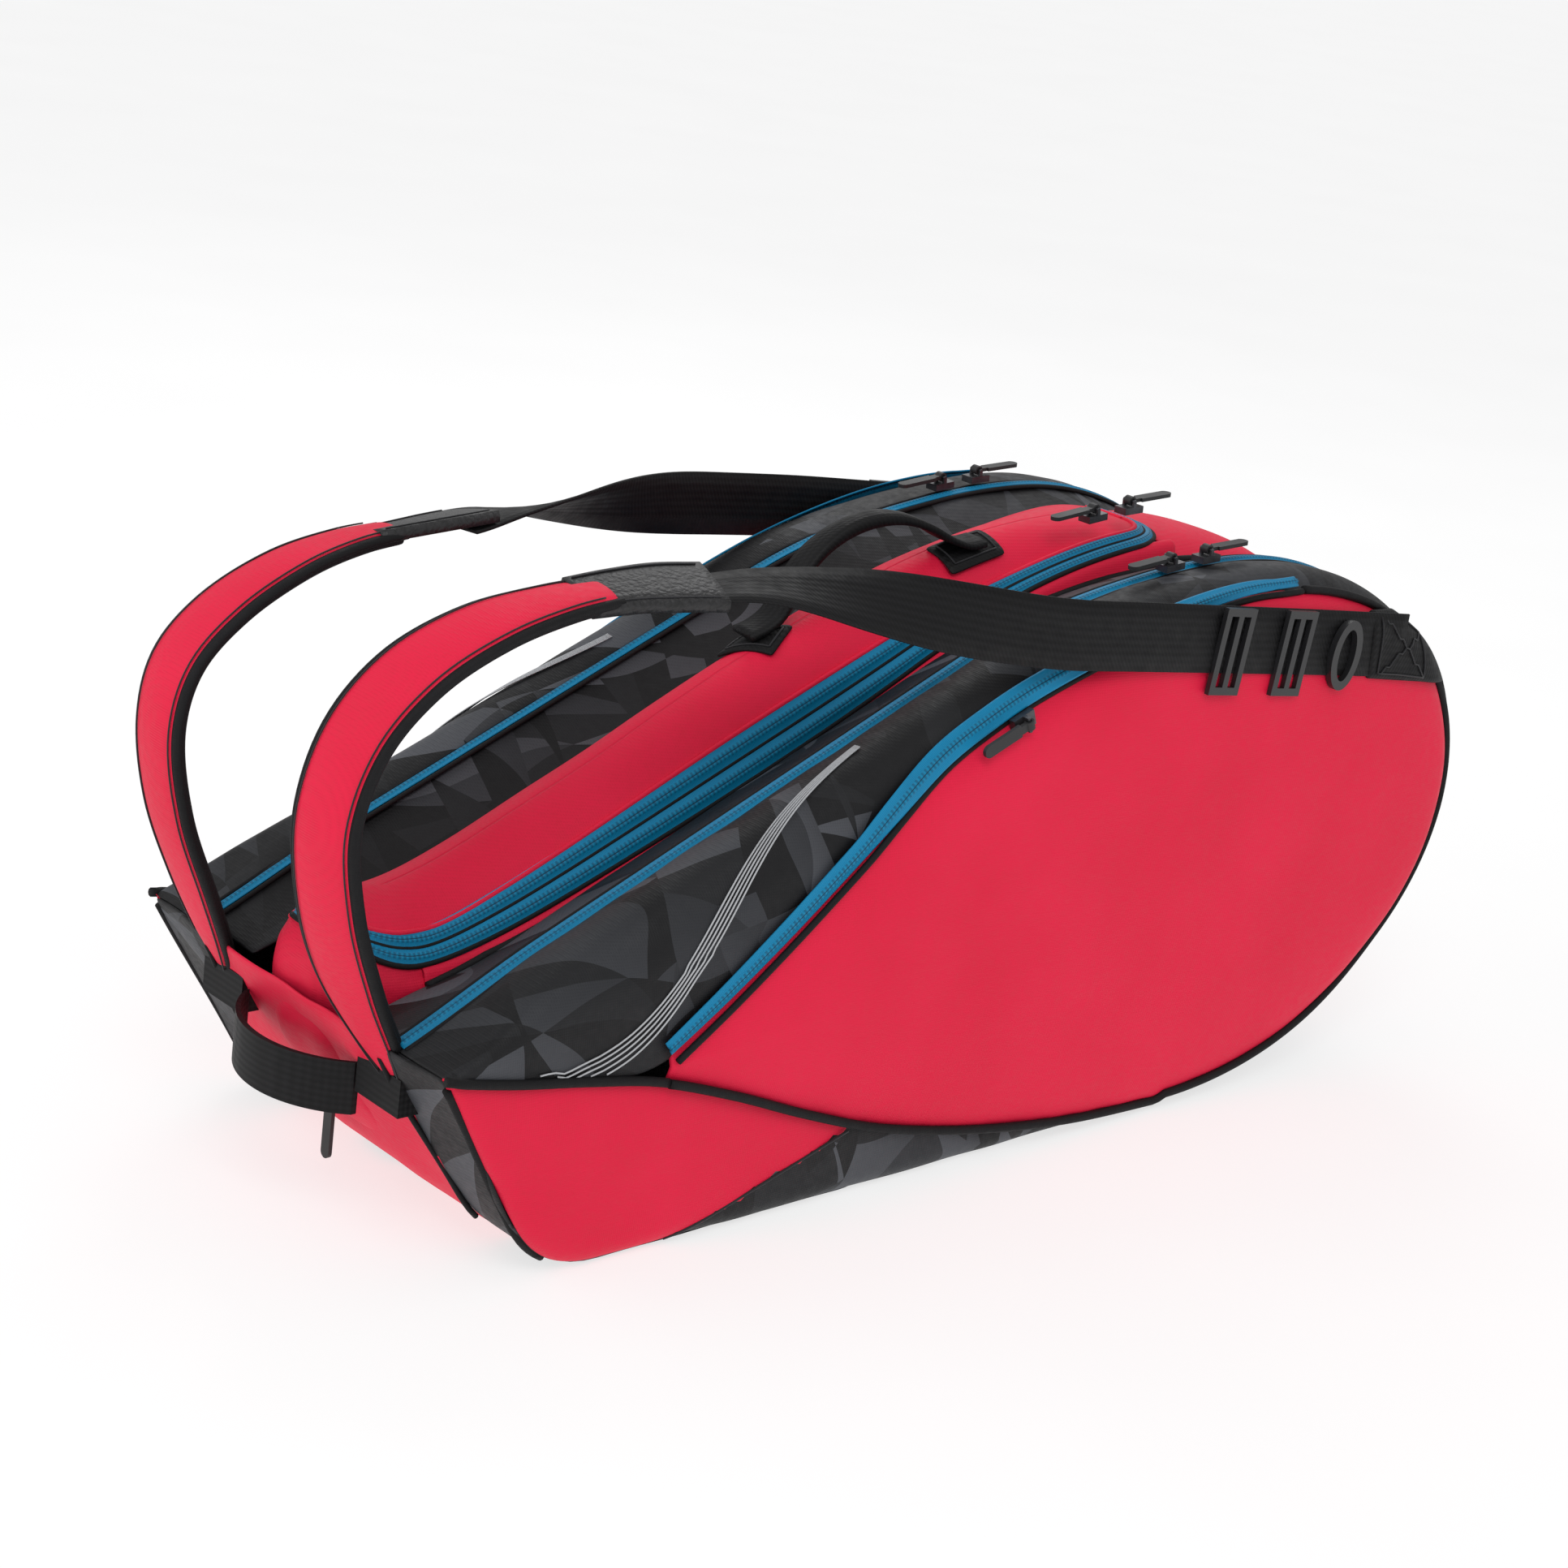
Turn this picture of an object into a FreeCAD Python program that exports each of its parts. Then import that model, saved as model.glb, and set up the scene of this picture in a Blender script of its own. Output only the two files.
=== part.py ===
"""Racket tournament bag: three teardrop compartments side by side, modelled as separate pieces.

Frame, in millimetres: X runs along the bag from the nose (narrow end, -X) to the head (+X),
-Y is the front side and +Y the back side, +Z is up. The origin is on the floor, under the bag.
"""
import FreeCAD, Part
import math
import os

Vec = FreeCAD.Vector

# ---------------------------------------------------------------------------------------------
# Driving dimensions
# ---------------------------------------------------------------------------------------------
SIZES = {
    # side outline of the compartments, seen along Y
    "nose_x": -376.0,              # tip of the nose
    "nose_height": 120.0,
    "foot_x": -304.0,              # where the nose wall meets the floor
    "foot_radius": 60.0,
    "nose_radius": 14.0,
    "head_x": 394.0,               # furthest point of the head
    "head_run": 204.0,             # furthest point of the head back to the crest
    "crest_x": "=head_x - head_run",
    "floor_run": 244.0,            # furthest point of the head back to where the floor rises
    "floor_end_x": "=head_x - floor_run",
    "crest_height": 322.0,
    "head_rise": 152.0,            # furthest point of the head up to the crest
    "head_height": "=crest_height - head_rise",
    "crest_radius": 500.0,         # long arc that joins the crest to the straight top
    # cross-section, seen along X
    "half_width": 134.0,           # centre plane to the outer face of a side pocket
    "zip_plane": 89.0,             # centre plane to the main zip of a side compartment
    "divider_plane": 46.0,         # centre plane to the outer face of a divider
    "divider_wall": 4.0,
    "wall": 4.0,                   # padded fabric wall
    "pocket_wall": 5.0,
    "seam_gap": 0.6,               # clearance between pieces that part when a zip opens
    # seam that parts the side cover from the lower shell
    "seam_knee_x": -248.0,
    "seam_knee_height": 96.0,
    "seam_low_x": -80.0,
    "seam_low_height": 38.0,
    "seam_step": 14.0,
    # side pocket panel
    "pocket_inset": 25.0,          # outline to the edge of the panel
    "pocket_start_x": -232.0,
    "pocket_mid_x": -95.0,
    "pocket_mid_height": "=crest_height - 104",
    "pocket_zip_width": 7.0,
    "pocket_zip_wall": 3.0,
    "pocket_slider_x": -20.0,
    # centre lid
    "lid_nose_gap": 24.0,          # tip of the nose to the end of the lid
    "lid_nose_x": "=nose_x + lid_nose_gap",
    "lid_crest_gap": 6.0,
    "lid_head_x": "=crest_x + lid_crest_gap",
    "rail_width": 7.0,             # divider to the zip edge of the lid
    "hinge_width": 4.0,            # divider to the hinge edge of the lid
    "lid_front": "=divider_plane - rail_width",
    "lid_back": "=divider_plane - hinge_width",
    "lid_rise": 15.0,              # lid top above the side compartments
    "lid_wall": 5.0,
    "rail_rise": 9.0,
    "zip_tape": 1.2,               # thickness of a zip tape with its teeth
    "zip_width": 6.0,
    "lid_slider_run": 62.0,        # crest back to the first lid slider
    "lid_slider_x": "=crest_x - lid_slider_run",
    "cover_slider_run": 58.0,      # crest back to the first side slider
    "cover_slider_x": "=crest_x - cover_slider_run",
    "slider_pitch": 30.0,
    # sliders and pulls
    "slider_length": 15.0,
    "slider_width": 9.0,
    "slider_body": 4.0,
    "slider_gap": 0.5,             # slider to tape
    "bar_radius": 1.1,             # bar that holds the pull
    "bar_lift": 3.2,
    "post_width": 1.6,
    "pull_length": 34.0,
    "pull_width": 7.0,
    "pull_wall": 2.2,
    "pull_gap": 0.5,
    "pull_eye": 2.8,
    # carry handle on the lid
    "handle_nose_x": -86.0,
    "handle_head_x": 52.0,
    "handle_arch": 36.0,
    "handle_wall": 4.0,
    "handle_width": 20.0,
    "patch_length": 46.0,
    "patch_width": 34.0,
    "patch_wall": 2.0,
    "handle_gap": 9.0,             # patch to the stiff part of the handle
    # backpack straps
    "strap_reach": 82.0,           # outer face of a side pocket to the inner edge of a strap
    "strap_inner": "=half_width - strap_reach",
    "strap_width": 48.0,
    "strap_wall": 12.0,
    "strap_foot_x": "=nose_x - 1",
    "strap_foot_height": "=nose_height - 28",
    "strap_back_x": "=nose_x - 36",
    "strap_back_height": "=crest_height - 96",
    "strap_shoulder_x": "=nose_x + 4",
    "strap_shoulder_height": "=crest_height - 22",
    "strap_top_x": "=nose_x + 106",
    "strap_top_height": "=crest_height + 7",
    "foot_block": 20.0,
    "foot_gap": 2.0,
    "tab_length": 48.0,
    "tab_wall": 5.0,
    "tab_width": 40.0,
    "webbing_width": 38.0,
    "webbing_wall": 1.8,
    "webbing_clear": 8.0,          # side pocket to the middle of the webbing
    "webbing_side": "=half_width + webbing_clear",
    "webbing_end_x": "=head_x - 94",
    "webbing_end_height": "=crest_height - 54",
    "webbing_flat_x": "=webbing_end_x - 240",
    "anchor_length": 44.0,
    "anchor_gap": 1.5,
    "glide_length": 26.0,
    "glide_height": 50.0,
    "glide_wall": 3.0,
    "glide_bar": 4.5,
    "glide_gap": 0.5,
    "rear_glide_x": "=webbing_end_x - 166",
    "front_glide_x": "=webbing_end_x - 110",
    "ring_x": "=webbing_end_x - 62",
    "ring_height": 42.0,
    "ring_length": 26.0,
    "ring_wall": 4.0,
    "ring_bar": 5.5,
    # nose end
    "grab_span": "=2 * strap_inner - 4",
    "grab_height": 82.0,
    "grab_width": 28.0,
    "grab_wall": 3.0,
    "grab_bow": 26.0,
    "grab_pad": 22.0,
    "nose_zip_height": 56.0,
    "nose_zip_span": 110.0,
    "board_wall": 3.0,
    "board_gap": 8.0,
}

doc = FreeCAD.newDocument("racket_bag")
sheet = doc.addObject("Spreadsheet::Sheet", "sizes")
for row, (alias, value) in enumerate(SIZES.items(), start=1):
    sheet.set(f"A{row}", alias)
    sheet.set(f"B{row}", str(value))
    sheet.setAlias(f"B{row}", alias)
doc.recompute()


def size(alias):
    return float(sheet.get(alias))


# ---------------------------------------------------------------------------------------------
# The side outline: floor, nose wall, straight top, crest arc and two elliptical head quarters
# ---------------------------------------------------------------------------------------------
def meet(normal_a, reach_a, normal_b, reach_b):
    """Point where two lines normal.p = reach cross."""
    det = normal_a[0] * normal_b[1] - normal_a[1] * normal_b[0]
    return (
        (reach_a * normal_b[1] - reach_b * normal_a[1]) / det,
        (normal_a[0] * reach_b - normal_b[0] * reach_a) / det,
    )


def unit(a, b):
    length = math.hypot(b[0] - a[0], b[1] - a[1])
    return ((b[0] - a[0]) / length, (b[1] - a[1]) / length)


class Outline:
    """The bag's side outline, moved inward by inset (outward when it is negative)."""

    def __init__(self, inset=0.0):
        self.inset = inset
        foot = (size("foot_x"), 0.0)
        nose = (size("nose_x"), size("nose_height"))
        radius = size("crest_radius")
        self.centre = (size("crest_x"), size("crest_height") - radius)
        to_nose = (nose[0] - self.centre[0], nose[1] - self.centre[1])
        reach = math.hypot(*to_nose)
        self.angle = math.atan2(to_nose[1], to_nose[0]) - math.acos(radius / reach)
        self.radius = radius - inset
        top_normal = (math.cos(self.angle), math.sin(self.angle))
        top_reach = top_normal[0] * self.centre[0] + top_normal[1] * self.centre[1] + self.radius
        along = unit(foot, nose)
        wall_normal = (along[1], -along[0])
        wall_reach = wall_normal[0] * foot[0] + wall_normal[1] * foot[1] + inset
        self.top_normal = top_normal
        self.nose = meet(top_normal, top_reach, wall_normal, wall_reach)
        self.foot = meet(wall_normal, wall_reach, (0.0, 1.0), inset)
        self.wall_dir = along
        self.tangent = (
            self.centre[0] + self.radius * top_normal[0],
            self.centre[1] + self.radius * top_normal[1],
        )
        self.crest = (size("crest_x"), size("crest_height") - inset)
        self.head = (size("head_x") - inset, size("head_height"))
        self.floor_end = (size("floor_end_x"), inset)
        self.low = Part.Ellipse(
            Vec(size("floor_end_x"), size("head_height"), 0),
            size("head_x") - size("floor_end_x") - inset,
            size("head_height") - inset,
        )
        self.high = Part.Ellipse(
            Vec(size("crest_x"), size("head_height"), 0),
            size("head_x") - size("crest_x") - inset,
            size("crest_height") - size("head_height") - inset,
        )

    def height(self, x):
        """Height of the top of the outline at x."""
        if x <= self.tangent[0]:
            run = self.top_normal[0] / self.top_normal[1]
            return self.tangent[1] - run * (x - self.tangent[0])
        if x <= self.crest[0]:
            return self.centre[1] + math.sqrt(self.radius**2 - (x - self.centre[0]) ** 2)
        share = (x - self.crest[0]) / self.high.MajorRadius
        return self.head[1] + self.high.MinorRadius * math.sqrt(1 - share**2)

    def slope(self, x):
        """Angle of the top of the outline at x, in degrees."""
        step = 0.5
        rise = self.height(x + step) - self.height(x - step)
        return math.degrees(math.atan2(rise, 2 * step))

    def top(self, x_from, x_to):
        """Curves along the top from x_from to x_to, nose to head."""
        curves = []
        marks = [x_from]
        marks += [x for x in (self.tangent[0], self.crest[0]) if x_from < x < x_to]
        marks.append(x_to)
        for a, b in zip(marks, marks[1:]):
            start = Vec(a, self.height(a), 0)
            end = Vec(b, self.height(b), 0)
            middle = (a + b) / 2
            if middle < self.tangent[0]:
                curves.append(Part.LineSegment(start, end))
            elif middle < self.crest[0]:
                curves.append(Part.Arc(start, Vec(middle, self.height(middle), 0), end))
            else:
                low = self.high.parameter(end)
                high = self.high.parameter(start)
                curves.append(Part.ArcOfEllipse(self.high, low, high))
        return curves

    def head_curves(self):
        """The two elliptical quarters, from the floor to the crest."""
        quarter = math.pi / 2
        return [
            Part.ArcOfEllipse(self.low, -quarter, 0),
            Part.ArcOfEllipse(self.high, 0, quarter),
        ]

    def corner(self, point, before, after, radius):
        """Arc that rounds a corner, and its two ends."""
        a = unit(point, before)
        b = unit(point, after)
        half = math.acos(max(-1.0, min(1.0, a[0] * b[0] + a[1] * b[1]))) / 2
        run = radius / math.tan(half)
        start = Vec(point[0] + a[0] * run, point[1] + a[1] * run, 0)
        end = Vec(point[0] + b[0] * run, point[1] + b[1] * run, 0)
        middle_dir = unit((0, 0), (a[0] + b[0], a[1] + b[1]))
        depth = radius / math.sin(half) - radius
        middle = Vec(point[0] + middle_dir[0] * depth, point[1] + middle_dir[1] * depth, 0)
        return Part.Arc(start, middle, end), start, end

    def closed(self):
        """The whole outline as one closed chain of curves."""
        foot_arc, foot_in, foot_out = self.corner(
            self.foot, self.nose, self.floor_end, size("foot_radius") - self.inset
        )
        nose_arc, nose_in, nose_out = self.corner(
            self.nose, self.tangent, self.foot, size("nose_radius") - self.inset
        )
        floor = Part.LineSegment(foot_out, Vec(*self.floor_end, 0))
        top = [
            Part.LineSegment(Vec(*self.tangent, 0), nose_in),
            nose_arc,
            Part.LineSegment(nose_out, foot_in),
            foot_arc,
            floor,
        ]
        middle = (self.tangent[0] + self.crest[0]) / 2
        crest_arc = Part.Arc(
            Vec(*self.crest, 0), Vec(middle, self.height(middle), 0), Vec(*self.tangent, 0)
        )
        return self.head_curves() + [crest_arc] + top


def line(a, b):
    return Part.LineSegment(Vec(a[0], a[1], 0), Vec(b[0], b[1], 0))


def polygon(points):
    return [line(a, b) for a, b in zip(points, points[1:] + points[:1])]


def spline(points, start=None, end=None):
    """Smooth curve through points, with end directions where they are given."""
    curve = Part.BSplineCurve()
    places = [Vec(x, z, 0) for x, z in points]
    if start is None:
        curve.interpolate(places)
    else:
        curve.interpolate(Points=places, InitialTangent=Vec(*start, 0), FinalTangent=Vec(*end, 0))
    return curve


def polyline(points):
    return [line(a, b) for a, b in zip(points, points[1:])]


def band(outer, inner, x_from, x_to):
    """Strip along the top between two insets of the outline."""
    outside = Outline(outer)
    inside = Outline(inner)
    ends = [
        line((x_from, inside.height(x_from)), (x_from, outside.height(x_from))),
        line((x_to, outside.height(x_to)), (x_to, inside.height(x_to))),
    ]
    return outside.top(x_from, x_to) + inside.top(x_from, x_to) + ends


def side_seam(drop):
    """Seam from the nose down to the floor, lowered by drop on the lower shell's side."""
    outline = Outline()
    start = (
        outline.nose[0] - outline.wall_dir[0] * drop,
        outline.nose[1] - outline.wall_dir[1] * drop,
    )
    end = (outline.floor_end[0] - drop * size("seam_step"), 0.0)
    knee = (size("seam_knee_x"), size("seam_knee_height") - drop)
    low = (size("seam_low_x"), size("seam_low_height") - drop)
    return [start, knee, low, end]


def seam_curve(drop):
    return spline(side_seam(drop), (1.0, -0.2), (1.0, 0.0))


# ---------------------------------------------------------------------------------------------
# Feature helpers
# ---------------------------------------------------------------------------------------------
nodes = []
FRONT = -1
BACK = 1
SIDES = {"front": FRONT, "back": BACK}


def plane(body, role):
    return next(f for f in body.Origin.OriginFeatures if f.Role == role)


def sketch_on(body, role, name, curves, offset="0"):
    """Sketch on an origin plane, moved along the plane's normal by an expression."""
    sketch = body.newObject("Sketcher::SketchObject", name)
    sketch.AttachmentSupport = [(plane(body, role), "")]
    sketch.MapMode = "FlatFace"
    sketch.setExpression(".AttachmentOffset.Base.z", offset)
    sketch.addGeometry(curves, False)
    return sketch


def new_body(label):
    body = doc.addObject("PartDesign::Body", label)
    body.Label = label
    nodes.append(body)
    return body


def pad(body, sketch, length, side=FRONT, middle=False):
    feature = body.newObject("PartDesign::Pad", body.Name + "_pad")
    feature.Profile = sketch
    feature.setExpression("Length", length)
    feature.Reversed = side == BACK
    feature.Midplane = middle
    sketch.Visibility = False
    doc.recompute()
    return feature


def pocket(body, sketch, length, side=FRONT, middle=False):
    """Pocket that cuts outward from the centre plane; the volume must go down."""
    before = body.Shape.Volume
    feature = body.newObject("PartDesign::Pocket", body.Name + "_pocket")
    feature.Profile = sketch
    feature.setExpression("Length", length)
    feature.Reversed = side == FRONT
    feature.Midplane = middle
    doc.recompute()
    if not body.Shape.Volume < before - 1.0:
        raise RuntimeError(f"{body.Label}: {feature.Name} cut nothing")
    return feature


def offset_for(side, expression):
    """Sketch offset on the XZ plane, whose normal is -Y, for a front or a back piece."""
    return expression if side == FRONT else f"-({expression})"


def slab(label, curves, start, depth, side):
    """Piece with a side outline, from start outward over depth."""
    body = new_body(label)
    sketch = sketch_on(body, "XZ_Plane", label + "_outline", curves, offset_for(side, start))
    pad(body, sketch, depth, side)
    return body


def shift(x, y, z):
    return FreeCAD.Placement(Vec(x, y, z), FreeCAD.Rotation())


def turned(axis, angle):
    return FreeCAD.Placement(Vec(0, 0, 0), FreeCAD.Rotation(axis, angle))


def block(name, spread, place):
    """Part::Box with bound sizes, centred on its local X and Y, standing on its local Z."""
    piece = doc.addObject("Part::Box", name)
    for side_name, expression in zip(("Length", "Width", "Height"), spread):
        piece.setExpression(side_name, expression)
    doc.recompute([piece])
    corner = shift(-piece.Length.Value / 2, -piece.Width.Value / 2, 0)
    piece.Placement = place * corner
    return piece


def fuse(name, pieces):
    joined = doc.addObject("Part::MultiFuse", name)
    joined.Shapes = pieces
    return joined


def cut(name, base, tool):
    result = doc.addObject("Part::Cut", name)
    result.Base = base
    result.Tool = tool
    return result


def publish(piece, label, placement=None):
    """Make a finished object a named piece of the bag."""
    piece.Label = label
    if placement is not None:
        piece.Placement = placement
    nodes.append(piece)
    return piece


def tilt(x, y, z, slope):
    """Placement whose local X climbs at slope degrees."""
    return FreeCAD.Placement(Vec(x, y, z), FreeCAD.Rotation(Vec(0, 1, 0), -slope))


# ---------------------------------------------------------------------------------------------
# Shell
# ---------------------------------------------------------------------------------------------
def centre_shell():
    """Floor, nose wall and head wall between the two main zips, open on top."""
    body = new_body("centre_shell")
    outer = sketch_on(body, "XZ_Plane", "shell_outer", Outline().closed())
    pad(body, outer, "2 * (sizes.zip_plane - sizes.seam_gap)", middle=True)
    inner = sketch_on(body, "XZ_Plane", "shell_inner", Outline(size("wall")).closed())
    pocket(body, inner, "2 * sizes.half_width", middle=True)
    clear = band(-size("wall"), 2 * size("wall"), size("lid_nose_x"), size("lid_head_x"))
    mouth = sketch_on(body, "XZ_Plane", "shell_mouth", clear)
    pocket(body, mouth, "2 * sizes.half_width", middle=True)


def divider(name, side):
    """Wall between two compartments, from floor to top."""
    start = "sizes.divider_plane - sizes.divider_wall"
    inside = Outline(size("wall")).closed()
    slab(f"{name}_divider", inside, start, "sizes.divider_wall", side)


def gusset(name, side):
    """Top of a side compartment, from the divider to the main zip."""
    strip = band(0, size("wall"), size("lid_nose_x"), size("lid_head_x"))
    start = "sizes.divider_plane - sizes.divider_wall"
    depth = "sizes.zip_plane - sizes.seam_gap - sizes.divider_plane + sizes.divider_wall"
    slab(f"{name}_gusset", strip, start, depth, side)


def rail(name, side):
    """Narrow raised band on the divider line, along the zip edge of the lid."""
    strip = band(-size("rail_rise"), 0, size("lid_nose_x"), size("lid_head_x"))
    start = "sizes.lid_front + sizes.seam_gap"
    slab(f"{name}_rail", strip, start, "sizes.divider_plane - sizes.lid_front", side)


def base_board():
    """Stiffening board on the floor of the centre compartment."""
    spread = (
        "sizes.floor_end_x - sizes.foot_x - sizes.foot_radius - sizes.board_gap",
        "2 * (sizes.divider_plane - sizes.divider_wall - sizes.seam_gap)",
        "sizes.board_wall",
    )
    middle = (size("floor_end_x") + size("foot_x") + size("foot_radius") + size("board_gap")) / 2
    publish(block("base_board_box", spread, shift(middle, 0, size("wall"))), "base_board")


def lower_shell(name, side):
    """Lower corner of a side compartment, under the side seam."""
    outline = Outline()
    seam = side_seam(1.0)
    foot_arc, foot_in, foot_out = outline.corner(
        outline.foot, outline.nose, outline.floor_end, size("foot_radius")
    )
    curves = [seam_curve(1.0), line(seam[-1], foot_out), foot_arc, line(foot_in, seam[0])]
    body = slab(
        f"{name}_lower_shell",
        curves,
        "sizes.zip_plane - sizes.seam_gap",
        "sizes.half_width - sizes.pocket_wall - sizes.zip_plane",
        side,
    )
    inside = Outline(size("wall"))
    over = size("nose_height")
    arc, arc_in, arc_out = inside.corner(
        inside.foot, inside.nose, inside.floor_end, size("foot_radius") - size("wall")
    )
    top_in = (
        inside.foot[0] + inside.wall_dir[0] * 2 * over,
        inside.foot[1] + inside.wall_dir[1] * 2 * over,
    )
    far = (inside.floor_end[0], inside.floor_end[1])
    hollow = [line(top_in, arc_in), arc, line(arc_out, far), line(far, (far[0], top_in[1]))]
    hollow.append(line((far[0], top_in[1]), top_in))
    sketch = sketch_on(
        body,
        "XZ_Plane",
        f"{name}_lower_hollow",
        hollow,
        offset_for(side, "sizes.zip_plane - sizes.seam_gap"),
    )
    depth = "sizes.half_width - sizes.pocket_wall - sizes.zip_plane - sizes.wall"
    pocket(body, sketch, depth, side)


# ---------------------------------------------------------------------------------------------
# Side covers and their pockets
# ---------------------------------------------------------------------------------------------
def side_cover(name, side):
    """Outer half of a side compartment: the part that falls open from the main zip."""
    outline = Outline()
    upper = outline.top(outline.nose[0], outline.crest[0])
    depth = "sizes.half_width - sizes.pocket_wall - sizes.seam_gap - sizes.zip_plane"
    curves = [seam_curve(0.0)] + outline.head_curves() + upper
    body = slab(f"{name}_cover", curves, "sizes.zip_plane", depth, side)
    inside = Outline(size("wall"))
    start_x = inside.nose[0]
    below = -size("wall")
    roof = inside.top(start_x, inside.crest[0])
    under = polyline(
        [
            (start_x, inside.height(start_x)),
            (start_x, below),
            (inside.floor_end[0], below),
            inside.floor_end,
        ]
    )
    hollow = inside.head_curves() + roof + under
    start = offset_for(side, "sizes.zip_plane")
    sketch = sketch_on(body, "XZ_Plane", f"{name}_cover_hollow", hollow, start)
    pocket(body, sketch, f"{depth} - sizes.wall", side)


POCKET_RUN = (0.75, 0.66)          # direction in which the pocket's upper edge sets out
POCKET_MID_RUN = (0.8, 0.6)


def pocket_edge(shift):
    """Points of a side pocket's upper edge, moved outward by shift."""
    inner = Outline(size("pocket_inset"))
    start_x = size("pocket_start_x")
    start_z = seam_height(start_x) + size("pocket_inset")
    start = (start_x - POCKET_RUN[1] * shift, start_z + POCKET_RUN[0] * shift)
    middle = (
        size("pocket_mid_x") - POCKET_MID_RUN[1] * shift,
        size("pocket_mid_height") + POCKET_MID_RUN[0] * shift,
    )
    end = (inner.crest[0], inner.crest[1] + shift)
    return [start, middle, end]


def seam_height(x):
    """Height of the side seam at x."""
    edge = seam_curve(0.0).toShape()
    column = Part.LineSegment(Vec(x, -1, 0), Vec(x, 2 * size("nose_height"), 0)).toShape()
    return edge.distToShape(column)[1][0][0].y


def pocket_curve(shift):
    return spline(pocket_edge(shift), POCKET_RUN, (1.0, 0.0))


def pocket_panel(name, side):
    """Padded outer panel of the side pocket."""
    inner = Outline(size("pocket_inset"))
    start = pocket_edge(0.0)[0]
    low_x = size("seam_low_x")
    low = (low_x, size("seam_low_height") + size("pocket_inset"))
    bottom = spline([start, low, inner.floor_end], (1.0, -0.4), (1.0, 0.0))
    curves = [pocket_curve(0.0), bottom] + inner.head_curves()
    start_plane = "sizes.half_width - sizes.pocket_wall"
    slab(f"{name}_pocket_panel", curves, start_plane, "sizes.pocket_wall", side)


def pocket_zip(name, side):
    """Zip tape along the pocket's upper edge, sewn to the cover."""
    low = pocket_edge(size("seam_gap"))
    high = pocket_edge(size("seam_gap") + size("pocket_zip_width"))
    curves = [pocket_curve(size("seam_gap"))]
    curves.append(pocket_curve(size("seam_gap") + size("pocket_zip_width")))
    curves += [line(low[0], high[0]), line(low[-1], high[-1])]
    start = "sizes.half_width - sizes.pocket_wall - sizes.seam_gap"
    slab(f"{name}_pocket_zip", curves, start, "sizes.pocket_zip_wall", side)


def main_zip(name, side):
    """Zip tape along the edge of the cover."""
    strip = band(-size("zip_tape"), 0, size("lid_nose_x"), size("lid_head_x"))
    slab(f"{name}_main_zip", strip, "sizes.zip_plane", "sizes.zip_width", side)


# ---------------------------------------------------------------------------------------------
# Centre lid and its carry handle
# ---------------------------------------------------------------------------------------------
def lid():
    """Padded lid of the centre compartment, hinged on its back edge."""
    rise = size("lid_rise")
    strip = band(-rise, size("lid_wall") - rise, size("lid_nose_x"), size("lid_head_x"))
    slab("centre_lid", strip, "-sizes.lid_front", "sizes.lid_front + sizes.lid_back", BACK)
    skirt = band(size("lid_wall") - rise, -size("zip_tape"), size("lid_nose_x"), size("lid_head_x"))
    slab("centre_zip", skirt, "-sizes.lid_front", "sizes.zip_width", BACK)


def lid_surface(x):
    return Outline(-size("lid_rise")).height(x)


def handle_patches():
    """Two sewn patches that hold the carry handle."""
    patches = []
    for end in ("nose", "head"):
        x = size(f"handle_{end}_x")
        slope = Outline(-size("lid_rise")).slope(x)
        spread = ("sizes.patch_length", "sizes.patch_width", "sizes.patch_wall")
        lift = size("patch_length") ** 2 / (8 * size("crest_radius"))
        place = tilt(x, 0, lid_surface(x) + lift, slope)
        patches.append(block(f"handle_patch_{end}", spread, place))
    publish(fuse("handle_patches", patches), "handle_patches")


def carry_handle():
    """Webbing arch that stands on the two patches."""
    over = size("patch_wall") + size("handle_gap")
    nose = (size("handle_nose_x"), lid_surface(size("handle_nose_x")) + over)
    head = (size("handle_head_x"), lid_surface(size("handle_head_x")) + over)
    middle_x = (nose[0] + head[0]) / 2
    crown = (middle_x, lid_surface(middle_x) + size("handle_arch"))
    wall = size("handle_wall")
    under = spline(
        [nose, (crown[0], crown[1] - wall), head],
        (0.3, 1.0),
        (0.5, -1.0),
    )
    over_nose = (nose[0] - wall, nose[1])
    over_head = (head[0] + wall, head[1])
    upper = spline([over_nose, crown, over_head], (0.3, 1.0), (0.5, -1.0))
    curves = [under, upper, line(nose, over_nose), line(head, over_head)]
    body = new_body("carry_handle")
    sketch = sketch_on(body, "XZ_Plane", "carry_handle_outline", curves)
    pad(body, sketch, "sizes.handle_width", middle=True)


# ---------------------------------------------------------------------------------------------
# Zip sliders and their pulls
# ---------------------------------------------------------------------------------------------
def bar_height():
    return size("slider_gap") + size("slider_body") + size("bar_lift")


def slider(label, place):
    """Slider body with two posts and the bar that carries its pull."""
    base = ("sizes.slider_length", "sizes.slider_width", "sizes.slider_body")
    body = block(f"{label}_body", base, place * shift(0, 0, size("slider_gap")))
    pieces = [body]
    top = size("slider_gap") + size("slider_body")
    reach = (size("slider_width") - size("post_width")) / 2
    post = ("2 * sizes.bar_radius", "sizes.post_width", "sizes.bar_lift")
    for index, y in enumerate((-reach, reach)):
        pieces.append(block(f"{label}_post_{index}", post, place * shift(0, y, top)))
    bar = doc.addObject("Part::Cylinder", f"{label}_bar")
    bar.setExpression("Radius", "sizes.bar_radius")
    bar.setExpression("Height", "sizes.slider_width")
    across = shift(0, size("slider_width") / 2, bar_height())
    bar.Placement = place * across * turned(Vec(1, 0, 0), 90)
    pieces.append(bar)
    publish(fuse(label + "_fused", pieces), label)


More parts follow.
